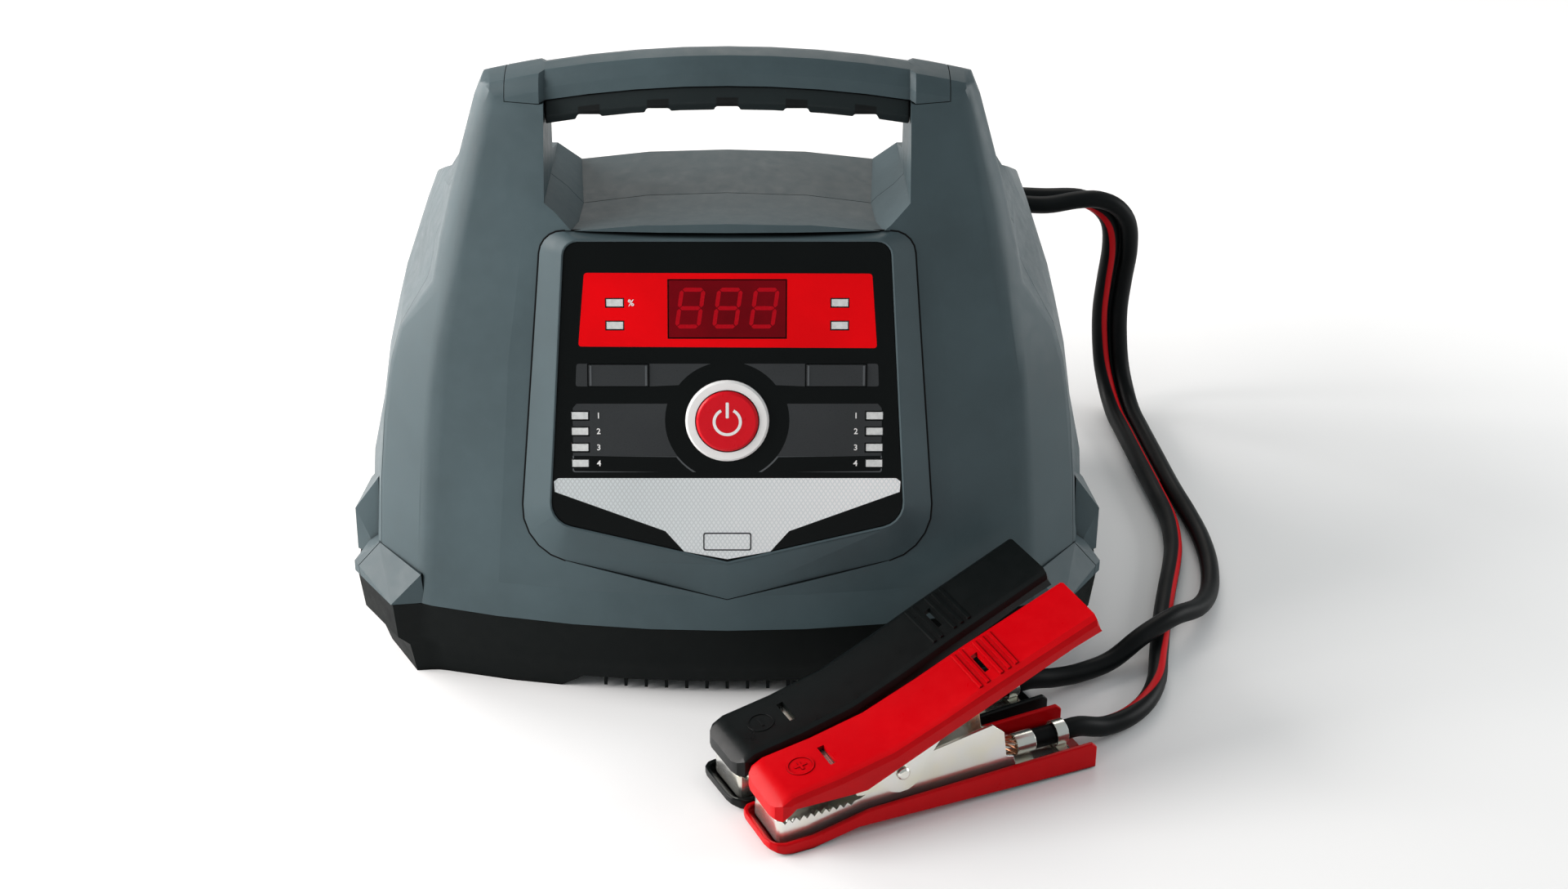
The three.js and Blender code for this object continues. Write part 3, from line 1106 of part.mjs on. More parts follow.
function upperCover() {
  const inner = [
    [-1.2, 5], [100, 5], [124.1, 59.5], [122.3, 65.1], [85, 49.2], [65, 40], [44, 31.3],
    [23, 26.4], [4.5, 23.5], [0.8, 21.4], [-1.2, 19.2],
  ];
  const slots = SLOT_PLACES.map((t) => box(
    t - SLOT_LENGTH / 2, t + SLOT_LENGTH / 2, -SLOT_WIDTH / 2, SLOT_WIDTH / 2, PIVOT_Z, CLAMP_LENGTH,
  ));
  const ribs = GRIP_OFFSETS.map((offset) => {
    const t = SLOT_PLACES[1] + offset;
    const z = lerpTable(COVER_TOP, t);
    const half = CLAMP_WIDTH / 2 - 3.2;
    return sweepY([[t - 0.8, z - 0.9], [t + 0.8, z - 0.2], [t + 0.4, z + 0.8], [t - 0.6, z + 0.5]], -half, half);
  });
  const roomPlan = clampPlan(-3 + COVER_WALL, CLAMP_WIDTH / 2 - COVER_WALL, NOSE_RADIUS - COVER_WALL);
  const room = sweepY(inner, -CLAMP_WIDTH, CLAMP_WIDTH).intersect(roomPlan);
  return cut(join(cut(coverBlock(), room), ...ribs), ...slots);
}

function lowerCover() {
  const outer = [
    [-5, 3], [0, 0.8], [4, 0], [12, 0], [30, 3.6], [CLAMP_LENGTH, 0.3], [CLAMP_LENGTH, 9.4], [126, 11.4],
    [60, 10.4], [34, 9.8], [24, 7.6], [12, 5.2], [2, 5], [-5, 5.8],
  ];
  const inner = [
    [-3.2, 4.3], [0.4, 2.7], [4, 1.8], [12, 1.8], [30, 5.45], [CLAMP_LENGTH + 1, 2.1], [CLAMP_LENGTH + 1, 60], [-3.2, 60],
  ];
  return channel(outer, inner, -5, CLAMP_WIDTH / 2, COVER_WALL, NOSE_RADIUS);
}

function upperJaw(hole) {
  const mouth = [
    [0.8, 13.5], [2, 14.2], [4.5, 17.2], [8, 19.2], [11, 19.6], [16, 19.6], [22, 19.2], [26, 18.4], [29, 17], [31, 15.5],
  ];
  const outer = [
    [-0.9, 13.5], ...teeth(mouth, TOOTH_DEPTH), [32, 15.8], ...earArc(215, 335, 5), [58, 24], [66, 36], [80, 42.5],
    [80, 46.5], [65, 39.6], [44, 30.8], [23, 25.9], [4, 22.9], [0.3, 20.2], [-0.9, 18.9],
  ];
  const inner = [
    [0.3, 5], [81, 5], [81, 45.6], [65, 38.3], [44, 29.5], [23, 24.6], [4.4, 21.7], [1, 19], [0.3, 18.3],
  ];
  const half = CLAMP_WIDTH / 2 - COVER_WALL - FIT_GAP;
  return cut(channel(outer, inner, -0.9, half, STEEL, NOSE_RADIUS - COVER_WALL - FIT_GAP), hole);
}

function lowerJaw(hole) {
  const mouth = [[0.8, 12.9], [31, 13.2]];
  const outer = [
    [-0.9, 3.9], [0.6, 3.1], [4, 2.15], [12, 2.15], [30, 5.8], [122, 2.7], [122, 5.2], [106, 5.4], [103, 6.6],
    [96, 7.8], [94.5, 13], [91.5, 14], [90, 25], [85, 29.6], [60, 25.5], ...earArc(12, 150, 5), [38.6, 17], [32, 13.4],
    ...teeth(mouth, -TOOTH_DEPTH).reverse(), [-0.9, 12.9],
  ];
  const inner = [[0.3, 4.4], [4, 3.4], [12, 3.4], [30, 7.05], [123, 3.9], [123, 60], [0.3, 60]];
  const half = CLAMP_WIDTH / 2 - COVER_WALL - STEEL - 2 * FIT_GAP;
  return cut(channel(outer, inner, -0.9, half - 0.1, STEEL, 2.4), hole);
}

function pivotRivet() {
  const ear = CLAMP_WIDTH / 2 - COVER_WALL - FIT_GAP + FIT_GAP;
  const crown = ear + RIVET_CROWN;
  const body = turned([
    [RIVET_HEAD - 0.8, -crown], [RIVET_HEAD, -ear - 0.5], [RIVET_HEAD, -ear], [RIVET_RADIUS, -ear],
    [RIVET_RADIUS, ear], [RIVET_HEAD, ear], [RIVET_HEAD, ear + 0.5], [RIVET_HEAD - 0.8, crown],
  ], 0, 0, 16);
  return alongY(body, PIVOT_T, 0, PIVOT_Z);
}

// The wire's middle line: a straight leg, the curls round the pivot and a second straight leg
function springLine() {
  const width = SPRING.curls * SPRING.pitch;
  const perCurl = 8;
  const curls = Array.from({ length: SPRING.curls * perCurl + 1 }, (_, i) => {
    const angle = Math.PI / 2 + (i / perCurl) * 2 * Math.PI;
    const n = -width / 2 + (i / perCurl) * SPRING.pitch;
    return [PIVOT_T + SPRING.radius * Math.cos(angle), n, PIVOT_Z + SPRING.radius * Math.sin(angle)];
  });
  const leg = ([t, z], n, near) => [[t, n, z], [(t + near[0]) / 2, n, (z + near[2]) / 2]];
  return [
    ...leg(SPRING.upper, -width / 2, curls[0]),
    ...curls,
    ...leg(SPRING.lower, width / 2, curls[curls.length - 1]).reverse(),
  ];
}

// Smallest space between two runs of one wire, measured on points of its middle line
function leastGap(points, radius) {
  const path = new THREE.CatmullRomCurve3(points.map((p) => new THREE.Vector3(...p)), false, "catmullrom", 0.5);
  const samples = path.getSpacedPoints(600);
  const spacing = path.getLength() / 600;
  const apart = Math.ceil((4 * Math.PI * radius) / spacing);
  let least = Infinity;
  for (let i = 0; i < samples.length; i += 1) {
    for (let j = i + apart; j < samples.length; j += 1) {
      least = Math.min(least, samples[i].distanceTo(samples[j]) - 2 * radius);
    }
  }
  return least;
}

function crimp() {
  const along = new THREE.Matrix4().makeTranslation(CRIMP_T, 0, LEAD_END_HEIGHT)
    .multiply(new THREE.Matrix4().makeRotationY(Math.PI / 2)).toArray();
  const half = CRIMP_LENGTH / 2;
  return turned([
    [2.2, -half - CRIMP_TONGUE], [2.6, -half - CRIMP_TONGUE + 1], [2.6, -half], [CRIMP_RADIUS, -half],
    [CRIMP_RADIUS, half],
  ], 0, 0, 16).transform(along);
}

function leadStrap() {
  const inner = LEAD_DIAMETER / 2 + 1.5 * FIT_GAP;
  const outer = inner + STEEL * 0.6;
  const half = STRAP_WIDTH / 2;
  const along = new THREE.Matrix4().makeTranslation(STRAP_T, 0, LEAD_END_HEIGHT)
    .multiply(new THREE.Matrix4().makeRotationY(Math.PI / 2)).toArray();
  const band = turned([[outer, -half], [outer, half]], 0, 0, 20).transform(along);
  const foot = LEAD_END_HEIGHT - outer;
  const feet = box(STRAP_T - half, STRAP_T + half, -outer - 2, outer + 2, foot + 0.1, foot + 1.1);
  const bore = turned([[inner, -half - 1], [inner, half + 1]], 0, 0, 20).transform(along);
  return cut(join(band, feet), bore);
}

function addClamp(prefix, place, finish) {
  const clamp = new THREE.Group();
  clamp.position.set(place.x, place.y, 0);
  clamp.rotation.z = THREE.MathUtils.degToRad(place.turn);
  assembly.add(clamp);
  const holeRadius = RIVET_RADIUS + FIT_GAP;
  const hole = alongY(
    turned([[holeRadius, -CLAMP_WIDTH], [holeRadius, CLAMP_WIDTH]], 0, 0, 16), PIVOT_T, 0, PIVOT_Z,
  );
  addPiece(clamp, `${prefix}_upper_cover`, upperCover(), finish);
  addPiece(clamp, `${prefix}_lower_cover`, lowerCover(), finish);
  addPiece(clamp, `${prefix}_upper_jaw`, upperJaw(hole), "zinc");
  addPiece(clamp, `${prefix}_lower_jaw`, lowerJaw(hole), "zinc");
  addPiece(clamp, `${prefix}_pivot_rivet`, pivotRivet(), "zinc");
  addPiece(clamp, `${prefix}_spring`, tube(springLine(), SPRING.wire, 5, SPRING.steps), "zinc");
  addPiece(clamp, `${prefix}_crimp`, crimp(), "copper");
  addPiece(clamp, `${prefix}_lead_strap`, leadStrap(), "zinc");
}

// ---------------------------------------------------------------- the whole object

addHousing();
addHandle();
addBase();
addPanel();
addPower();
addFan();
addGlands();
addLeads();
addClamp("red", RED_CLAMP, "redPlastic");
addClamp("black", BLACK_CLAMP, "blackPlastic");
console.log(`least gap between the clamp spring's curls ${leastGap(springLine(), SPRING.wire).toFixed(2)} mm`);

export default assembly;
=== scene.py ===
"""Car battery charger: finishes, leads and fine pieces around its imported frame.

Metres, +Z up, -Y is the front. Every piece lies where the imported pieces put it.
"""

import json
import math

import bmesh
import bpy
import numpy as np
from bpy.props import FloatProperty, FloatVectorProperty, IntProperty, PointerProperty
from mathutils import Matrix, Vector


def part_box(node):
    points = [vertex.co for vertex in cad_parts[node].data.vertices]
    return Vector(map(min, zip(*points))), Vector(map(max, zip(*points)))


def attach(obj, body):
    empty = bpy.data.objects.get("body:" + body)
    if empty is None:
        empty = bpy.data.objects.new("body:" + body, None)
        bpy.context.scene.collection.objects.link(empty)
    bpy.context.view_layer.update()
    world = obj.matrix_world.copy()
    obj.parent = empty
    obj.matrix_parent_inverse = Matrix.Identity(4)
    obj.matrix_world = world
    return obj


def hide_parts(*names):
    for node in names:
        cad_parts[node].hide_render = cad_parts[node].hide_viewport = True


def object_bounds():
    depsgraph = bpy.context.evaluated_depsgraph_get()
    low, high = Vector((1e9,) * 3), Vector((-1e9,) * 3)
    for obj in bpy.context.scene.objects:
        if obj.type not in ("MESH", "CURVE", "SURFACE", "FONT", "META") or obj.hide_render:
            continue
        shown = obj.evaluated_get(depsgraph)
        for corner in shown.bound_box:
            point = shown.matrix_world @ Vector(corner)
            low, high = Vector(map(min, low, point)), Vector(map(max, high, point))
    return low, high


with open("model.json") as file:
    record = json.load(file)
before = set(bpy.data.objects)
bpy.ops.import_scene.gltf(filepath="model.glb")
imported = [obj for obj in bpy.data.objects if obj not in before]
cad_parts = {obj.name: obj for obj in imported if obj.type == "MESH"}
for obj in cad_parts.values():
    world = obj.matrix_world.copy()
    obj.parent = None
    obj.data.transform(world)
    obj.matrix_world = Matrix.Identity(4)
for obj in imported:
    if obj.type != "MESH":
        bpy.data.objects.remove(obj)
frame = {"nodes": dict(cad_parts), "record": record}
CAD_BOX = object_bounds()

bl_info = {
    "name": "Battery charger looks",
    "version": (1, 0, 0),
    "blender": (4, 5, 0),
    "location": "3D View > Sidebar > Charger",
    "description": "Plastics, printed panel, leads and clamps of a bench battery charger",
    "category": "Object",
}

MM = 0.001

# Stage: each lamp has a name, a place, a size and a colour
SKY_COLOUR = (0.94, 1.0, 1.02, 1)
FLOOR_REACH = 6.0
FLOOR_GAP = 0.05 * MM
LAMP_AIM = Vector((0, 0, 0.1))
LAMPS = (
    ("key", (-1.10, -0.22, 0.60), 0.75, (1.0, 0.96, 0.94)),
    ("side", (-1.00, 0.55, 0.40), 0.60, (1.0, 0.96, 0.94)),
    ("fill", (1.15, 0.20, 0.34), 0.60, (1.0, 1.0, 1.0)),
    ("top", (0.05, 1.00, 0.95), 0.80, (1.0, 0.92, 0.86)),
)

# Meshes: points closer than DOUBLES are one, and edges sharper than BEVEL_ABOVE are rounded. Faces that
# meet below the last two angles, in degrees, are shaded as one
DOUBLES = 0.004 * MM
BEVEL_ABOVE = math.radians(28)
SMOOTH_PACKED = 32
SMOOTH_NEW = 45

# Grip insert: its finger notches, darkened with painted shade, and the arch of its top
NOTCH_PITCH = 25 * MM
NOTCH_SIDE = (3.7 * MM, 4.2 * MM)
NOTCH_FLOOR = (3.9 * MM, 4.3 * MM)
GRIP_ARCH = 310 * MM

# Control panel: millimetres across and up its face where MM isn't given
PANEL_LEAN = math.radians(15)
OVERLAY_TIP = 26.6 * MM
OVERLAY_DEPTH = 1.2 * MM
BUTTON_MIDDLE = (0, 81)
KEY_U, KEY_V = 40.1, 98.2
LOWER_LIGHT_ROWS = (82.8, 76.8, 70.6, 64.5)
LIGHT_NOTCH_U = -50.9
LIGHT_NOTCH_HALF = 1.95
PRINT_RISE = 0.05

# Clamps: millimetres in a clamp's own frame, from its tip, where MM isn't given
CLAMPS = {
    "red": {"tip": Vector((14.2, -183.7, 0)) * MM, "turn": math.radians(24.3)},
    "black": {"tip": Vector((0.5, -158.1, 0)) * MM, "turn": math.radians(26.5)},
}
CLAMP_LENGTH = 128 * MM
CRIMP_MIDDLE = 104 * MM
CRIMP_HALF = 4 * MM
STRAP_T = 119 * MM
STRAND_START, STRAND_END = 90.6, 99.8
SPRING_RADIUS, SPRING_CURLS, SPRING_PITCH = 5.2, 4.5, 2.7
SPRING_MIDDLE = (48.0, 0, 21.0)
SPRING_LEGS = ((72, 30.4), (72, 7.4))
NOSE_START, NOSE_HEIGHT, NOSE_RISE, NOSE_RUN = 4.0, 25.3, 3.0, 19.0
MARK_T = 13.0

# Leads
LEAD_RADIUS = 3.8 * MM
LEAD_SPACING = 8.2 * MM
LEAD_END_HEIGHT = 9.5 * MM
STRIPE_MIDDLE = 0.1

# Where the two leads run side by side: a centre point and the direction from red to black
TWIN_ROUTE = [
    ((96, 113.4, 101), (1, 0, 0)),
    ((96, 117.5, 101), (0.99, -0.1, 0)),
    ((98, 124, 101), (0.92, -0.4, 0)),
    ((102.4, 129.6, 101), (0.7, -0.71, 0)),
    ((108.4, 133.2, 100.8), (0.4, -0.92, 0)),
    ((115.5, 134.6, 100.3), (0.1, -0.99, 0)),
    ((125, 134.4, 99.4), (0, -1, 0)),
    ((139, 132.8, 99.4), (0, -1, 0)),
    ((152, 132, 100.9), (0, -0.97, 0.26)),
    ((160.5, 132, 99.8), (0.2, -0.82, 0.54)),
    ((167.6, 132, 95.5), (0.57, -0.57, 0.57)),
    ((171.9, 132.2, 88), (0.89, -0.31, 0.32)),
    ((173, 132.7, 76), (1, -0.09, 0)),
    ((172, 134.2, 61), (1, 0, 0)),
    ((171.2, 135.2, 46), (1, 0, 0)),
    ((171.8, 135.3, 32), (1, 0, 0)),
    ((173.2, 132, 18.5), (1, 0, 0)),
    ((175.3, 123, 9), (1, 0, 0)),
    ((177, 111, 5.2), (1, 0.1, 0)),
    ((179, 99, 4.3), (1, 0.13, 0)),
    ((182.6, 74, 4.2), (1, 0.13, 0)),
    ((186.4, 48, 4.2), (1, 0.13, 0)),
]
RED_ROUTE = [
    (185.2, 24, 4.2), (184.8, 5, 4.2), (182.5, -10, 4.2),
    (177, -33.5, 4.2), (172.3, -55, 4.2), (168.5, -76, 4.2),
    (165.3, -94, 4.2), (159.5, -108, 4.2), (151, -118.5, 4.4),
    (141, -125.8, 5.6),
]
BLACK_ROUTE = [
    (194.2, 28, 4.2), (197, 8, 4.2), (197.4, -12, 4.2),
    (194.5, -32, 4.6), (187.5, -49, 8), (175.5, -62.5, 12.6),
    (162, -73.5, 11), (149, -83, 6), (136.5, -90.3, 5.4),
    (125.5, -95.9, 6.8),
]

# How far the striped lead is turned about its own length, in degrees, at places along its route
STRIPE_TURN = ([0, 9, 13, 19, 26, 28, 30, 34], [40, 40, 40, 0, 0, 40, 95, 150])


# ---- settings


def colour_setting(name, description, default):
    """A colour, as red, green and blue from 0 to 1."""
    return FloatVectorProperty(
        name=name, description=description, default=default, subtype="COLOR", size=3, min=0, max=1,
    )


def length_setting(name, description, default):
    """A length in metres."""
    return FloatProperty(name=name, description=description, default=default, unit="LENGTH")


def power_setting(name, description, default):
    """The power of a lamp in watts."""
    return FloatProperty(name=name, description=description, default=default, unit="POWER")


class StageSettings(bpy.types.PropertyGroup):
    """Camera, light and floor"""

    elevation: FloatProperty(
        name="Camera elevation", description="How far the camera looks down",
        default=math.radians(30.5), subtype="ANGLE",
    )
    distance: length_setting("Camera distance", "From the camera to the middle of the object", 1.15)
    lens: FloatProperty(name="Lens", description="Focal length in millimetres", default=65.26)
    side_shift: FloatProperty(
        name="Side shift", description="Shift of the picture, which puts the housing left of the middle",
        default=0.0362,
    )
    aim_height: length_setting("Aim height", "Height that the camera looks at", 0.05413)
    floor_colour: colour_setting("Floor colour", "Colour of the floor", (0.95, 0.95, 0.95))
    sky_strength: FloatProperty(name="Sky strength", description="Strength of the even light", default=0.40)
    key_power: power_setting("Key light", "Power of the large light on the left", 21)
    side_power: power_setting("Side light", "Power of the low light on the left", 9)
    fill_power: power_setting("Fill light", "Power of the light on the right", 5.5)
    top_power: power_setting("Top light", "Power of the warm light behind and above", 4.5)


class HousingSettings(bpy.types.PropertyGroup):
    """Mouldings of the housing"""

    shell_colour: colour_setting("Shell colour", "Blue-grey of the covers and handle", (0.050, 0.076, 0.085))
    base_colour: colour_setting("Base colour", "Black of the base tray", (0.0038, 0.0055, 0.0055))
    edge_radius: length_setting("Edge radius", "Rounding of the moulded edges", 0.9 * MM)
    grain_size: length_setting("Grain size", "Size of the moulded surface grain", 0.5 * MM)
    bevel_steps: IntProperty(name="Bevel steps", description="Faces across a rounded edge", default=3, min=1)


class PanelSettings(bpy.types.PropertyGroup):
    """Printed control panel"""

    field_colour: colour_setting("Field colour", "Red of the printed field", (0.80, 0.0, 0.003))
    band_colour: colour_setting("Band colour", "Grey of the printed bands", (0.034, 0.037, 0.039))
    silver_colour: colour_setting("Silver colour", "Silver of the lower badge area", (0.66, 0.70, 0.71))
    button_colour: colour_setting("Button colour", "Red of the start button", (0.66, 0.003, 0.012))


class LeadSettings(bpy.types.PropertyGroup):
    """Output leads"""

    sheath_colour: colour_setting("Sheath colour", "Black of the leads", (0.0035, 0.0045, 0.0048))
    stripe_colour: colour_setting("Stripe colour", "Red stripe on one lead", (0.55, 0.005, 0.010))
    stripe_share: FloatProperty(
        name="Stripe share", description="Share of the way round that the stripe covers", default=0.11,
    )
    sides: IntProperty(name="Sides", description="Faces round a lead", default=24, min=8)
    step: length_setting("Step", "Length of one face of a lead", 2.5 * MM)


class ClampSettings(bpy.types.PropertyGroup):
    """Spring clamps"""

    red_colour: colour_setting("Red plastic", "Colour of the red clamp's covers", (0.52, 0.0, 0.003))
    black_colour: colour_setting(
        "Black plastic", "Colour of the black clamp's covers", (0.0036, 0.0048, 0.0048),
    )
    cover_edge: length_setting("Cover edge", "Rounding of the covers' edges", 0.9 * MM)
    strands: IntProperty(name="Strands", description="Bare copper strands at each crimp", default=19, min=1)


class ChargerSettings(bpy.types.PropertyGroup):
    """All sizes and colours of the scene"""

    stage: PointerProperty(type=StageSettings)
    housing: PointerProperty(type=HousingSettings)
    panel: PointerProperty(type=PanelSettings)
    leads: PointerProperty(type=LeadSettings)
    clamps: PointerProperty(type=ClampSettings)


# ---- materials


class Shader:
    """A material's node tree with short calls to add and link nodes."""

    def __init__(self, name):
        self.material = bpy.data.materials.new(name)
        self.material.use_nodes = True
        self.tree = self.material.node_tree
        self.surface = self.tree.nodes["Principled BSDF"]

    def add(self, kind, **inputs):
        """A new node; inputs are values or sockets by the input's name, with _ for a space."""
        made = self.tree.nodes.new(kind)
        for key, value in inputs.items():
            socket = key.replace("_", " ")
            if socket in made.inputs:
                self.put(made.inputs[socket], value)
            else:
                setattr(made, key, value)
        return made

    def put(self, socket, value):
        """Link a socket, or set a value; a colour of three channels gets a full fourth."""
        if isinstance(value, bpy.types.NodeSocket):
            self.tree.links.new(value, socket)
        elif hasattr(value, "__len__") and len(value) == 3 and len(socket.default_value) == 4:
            socket.default_value = (*value, 1)
        else:
            socket.default_value = value

    def set(self, **inputs):
        """Inputs of the surface, by their names with _ for a space."""
        for key, value in inputs.items():
            self.put(self.surface.inputs[key.replace("_", " ")], value)

    def place(self, stretch=(1, 1, 1), turn=(0, 0, 0)):
        """Object coordinates, stretched and turned."""
        where = self.add("ShaderNodeTexCoord").outputs["Object"]
        return self.add("ShaderNodeMapping", Vector=where, Scale=stretch, Rotation=turn).outputs["Vector"]

    def noise(self, size, detail=2.0, where=None, roughness=0.5):
        """Soft noise whose lumps are about size metres across."""
        where = where or self.place()
        made = self.add(
            "ShaderNodeTexNoise", Vector=where, Scale=1 / size, Detail=detail, Roughness=roughness,
        )
        return made.outputs["Fac"]

    def spread(self, value, low, high, from_low=0.3, from_high=0.7):
        """The value mapped from its own range to low and high."""
        made = self.add("ShaderNodeMapRange")
        names = ("Value", "From Min", "From Max", "To Min", "To Max")
        for key, number in zip(names, (value, from_low, from_high, low, high)):
            self.put(made.inputs[key], number)
        return made.outputs["Result"]

    def blend(self, share, first, second):
        """Two colours mixed by a share from 0 to 1."""
        made = self.add("ShaderNodeMix", data_type="RGBA")
        self.put(made.inputs["Factor"], share)
        self.put(made.inputs[6], first)
        self.put(made.inputs[7], second)
        return made.outputs[2]

    def mottle(self, value, first, second):
        """The first colour where a noise is low and the second where it is high."""
        return self.blend(self.spread(value, 0, 1), first, second)

    def maths(self, operation, first, second=0.0):
        """One sum; operations on a single number leave the second out."""
        made = self.add("ShaderNodeMath", operation=operation)
        self.put(made.inputs[0], first)
        self.put(made.inputs[1], second)
        return made.outputs[0]

    def bump(self, height, depth, strength):
        """Fine relief of the surface, depth metres high."""
        made = self.add("ShaderNodeBump", Height=height, Distance=depth, Strength=strength)
        self.set(Normal=made.outputs["Normal"])


def shade(colour, factor):
    """The colour made lighter or darker."""
    return tuple(min(1.0, channel * factor) for channel in colour)


def mottled(name, size, first, second, **looks):
    """A plain material that drifts between two colours in lumps about size metres across."""
    shader = Shader(name)
    shader.set(Base_Color=shader.mottle(shader.noise(size), first, second), **looks)
    return shader.material


def notch_shade_share(shader):
    """How far a point lies in a finger notch of the grip insert, from 0 to 1: the share of painted shade for
    the notch's recess.

    In a notch, x is within 4 mm of its middle and z is 4 mm below the arched top, which is
    top - R + sqrt(R^2 - x^2)."""
    place = shader.add("ShaderNodeSeparateXYZ", Vector=shader.place())
    x, z = place.outputs["X"], place.outputs["Z"]
    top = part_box("grip_insert")[1].z
    aside = shader.maths("PINGPONG", x, NOTCH_PITCH / 2)
    arch = shader.maths("SQRT", shader.maths("SUBTRACT", GRIP_ARCH**2, shader.maths("MULTIPLY", x, x)))
    depth = shader.maths("SUBTRACT", shader.maths("ADD", arch, top - GRIP_ARCH), z)
    near = shader.spread(aside, 1, 0, *NOTCH_SIDE)
    return shader.maths("MULTIPLY", near, shader.spread(depth, 0, 1, *NOTCH_FLOOR))


def moulded_plastic(
    name, colour, roughness=0.5, grain=0.5 * MM, depth=0.02 * MM, patches=0.12, shine=0.3, painted_hollow_shade=None,
):
    """Moulded plastic: fine grain, slow drift of tone and gloss, faint dust, and painted shade in creases,
    seams and any hollows given.
    """
    shader = Shader(name)
    drift = shader.noise(45 * MM, 3)
    scuffs = shader.noise(6 * MM, 6, roughness=0.7)
    tone = shader.mottle(drift, shade(colour, 1 - patches), shade(colour, 1 + patches))
    dust_and_notch_shade = shader.blend(shader.spread(scuffs, 0, 0.08, 0.45, 0.8), tone, shade(colour, 2.2))
    # Painted shade: the colour darkens over the hollows given, standing in for the shade in a recess
    if painted_hollow_shade:
        dust_and_notch_shade = shader.blend(painted_hollow_shade(shader), dust_and_notch_shade, shade(colour, 0.25))
    # Painted shade: ambient occlusion darkens the colour in creases, seams and gaps
    painted_shade_ao = shader.add("ShaderNodeAmbientOcclusion", Distance=2.5 * MM, samples=8).outputs["AO"]
    shader.set(
        Base_Color=shader.blend(shader.spread(painted_shade_ao, 0, 1, 0.40, 0.92), shade(colour, 0.08), dust_and_notch_shade),
        Roughness=shader.spread(scuffs, roughness - 0.06, roughness + 0.08),
        Specular_IOR_Level=shine,
    )
    shader.bump(shader.noise(grain, 4, roughness=0.6), depth, 0.6)
    return shader.material


def gloss_film(name, colour, roughness, shine=0.15):
    """Printed plastic film: very fine texture under a clear face."""
    shader = Shader(name)
    drift = shader.noise(30 * MM, 2)
    fine = shader.noise(0.35 * MM, 3)
    shader.set(
        Base_Color=shader.mottle(drift, shade(colour, 0.92), shade(colour, 1.08)),
        Roughness=shader.spread(fine, roughness - 0.04, roughness + 0.06),
        Specular_IOR_Level=shine,
    )
    shader.bump(fine, 0.008 * MM, 0.5)
    return shader.material


def silver_film(name, colour):
    """Silver print: a fine slanting weave, flakes, and a painted reflection that makes the tone lighter
    towards one end.
    """
    shader = Shader(name)
    weave = [
        shader.add(
            "ShaderNodeTexWave", Vector=shader.place(turn=(0, math.radians(turn), 0)),
            Scale=230, Distortion=0.3, Detail=1.0,
        ).outputs["Fac"]
        for turn in (35, -35)
    ]
    crossed = shader.maths("MAXIMUM", *weave)
    flakes = shader.noise(0.8 * MM, 2)
    # Painted reflection: the tone grows lighter along x, towards one end
    along = shader.add("ShaderNodeSeparateXYZ", Vector=shader.place()).outputs["X"]
    ends = shader.spread(along, 0, 1, -35 * MM, 50 * MM)
    ribs = shader.spread(crossed, 0, 1, 0.5, 1.0)
    dull = shader.blend(ribs, shade(colour, 1.08), shade(colour, 0.86))
    reflection_bright = shader.blend(ribs, shade(colour, 1.5), shade(colour, 1.2))
    shader.set(
        Base_Color=shader.blend(ends, dull, reflection_bright),
        Metallic=0.5,
        Roughness=shader.spread(flakes, 0.32, 0.5),
    )
    return shader.material


def plated_steel(name):
    """Bright zinc plate: faint yellow and blue bloom and soft drawn lines."""
    shader = Shader(name)
    bloom = shader.noise(16 * MM, 2)
    drawn = shader.noise(5 * MM, 1, shader.place((0.1, 1, 1)))
    warm = shader.mottle(bloom, (0.86, 0.85, 0.80), (0.80, 0.78, 0.62))
    cool = shader.blend(shader.spread(shader.noise(11 * MM, 2), 0, 0.4), warm, (0.74, 0.80, 0.86))
    shader.set(
        Base_Color=cool,
        Metallic=0.9,
        Roughness=shader.spread(drawn, 0.16, 0.26),
    )
    shader.bump(drawn, 0.004 * MM, 0.1)
    return shader.material


def bare_metal(name, colour, roughness, streak):
    """Bare metal with fine streaks along one direction."""
    shader = Shader(name)
    streaks = shader.noise(0.9 * MM, 4, shader.place(streak))
    shader.set(
        Base_Color=shader.mottle(streaks, shade(colour, 0.8), shade(colour, 1.15)),
        Metallic=1.0,
        Roughness=shader.spread(streaks, roughness - 0.08, roughness + 0.1),
    )
    shader.bump(streaks, 0.02 * MM, 0.4)
    return shader.material


def lead_sheath(name, colour, stripe=None, share=0.0):
    """Soft sheath of a lead. The stripe is a band of the way round, read from the lead's own map."""
    shader = Shader(name)
    dull = shader.noise(20 * MM, 4)
    fine = shader.noise(0.5 * MM, 3)
    base = shader.mottle(dull, shade(colour, 0.85), shade(colour, 1.3))
    if stripe:
        lead_map = shader.add("ShaderNodeUVMap").outputs["UV"]
        around = shader.add("ShaderNodeSeparateXYZ", Vector=lead_map).outputs["X"]
        away = shader.maths("ABSOLUTE", shader.maths("SUBTRACT", around, STRIPE_MIDDLE))
        edge = shader.spread(away, 1, 0, share / 2 - 0.01, share / 2 + 0.01)
        base = shader.blend(edge, base, stripe)
    shader.set(Base_Color=base, Roughness=shader.spread(dull, 0.36, 0.52), Specular_IOR_Level=0.1)
    shader.bump(fine, 0.015 * MM, 0.5)
    return shader.material


def enamelled_wire(name):
    """Wound enamelled wire: rows of turns as a ribbed coppery surface."""
    shader = Shader(name)
    turns = shader.add(
        "ShaderNodeTexWave", Vector=shader.place(), bands_direction="Z", Scale=180, Distortion=0.4,
    ).outputs["Fac"]
    shader.set(
        Base_Color=shader.blend(turns, (0.12, 0.03, 0.01), (0.45, 0.13, 0.04)),
        Metallic=0.6,
        Roughness=shader.spread(shader.noise(3 * MM, 3), 0.3, 0.5),
    )
    shader.bump(turns, 0.4 * MM, 0.7)
    return shader.material


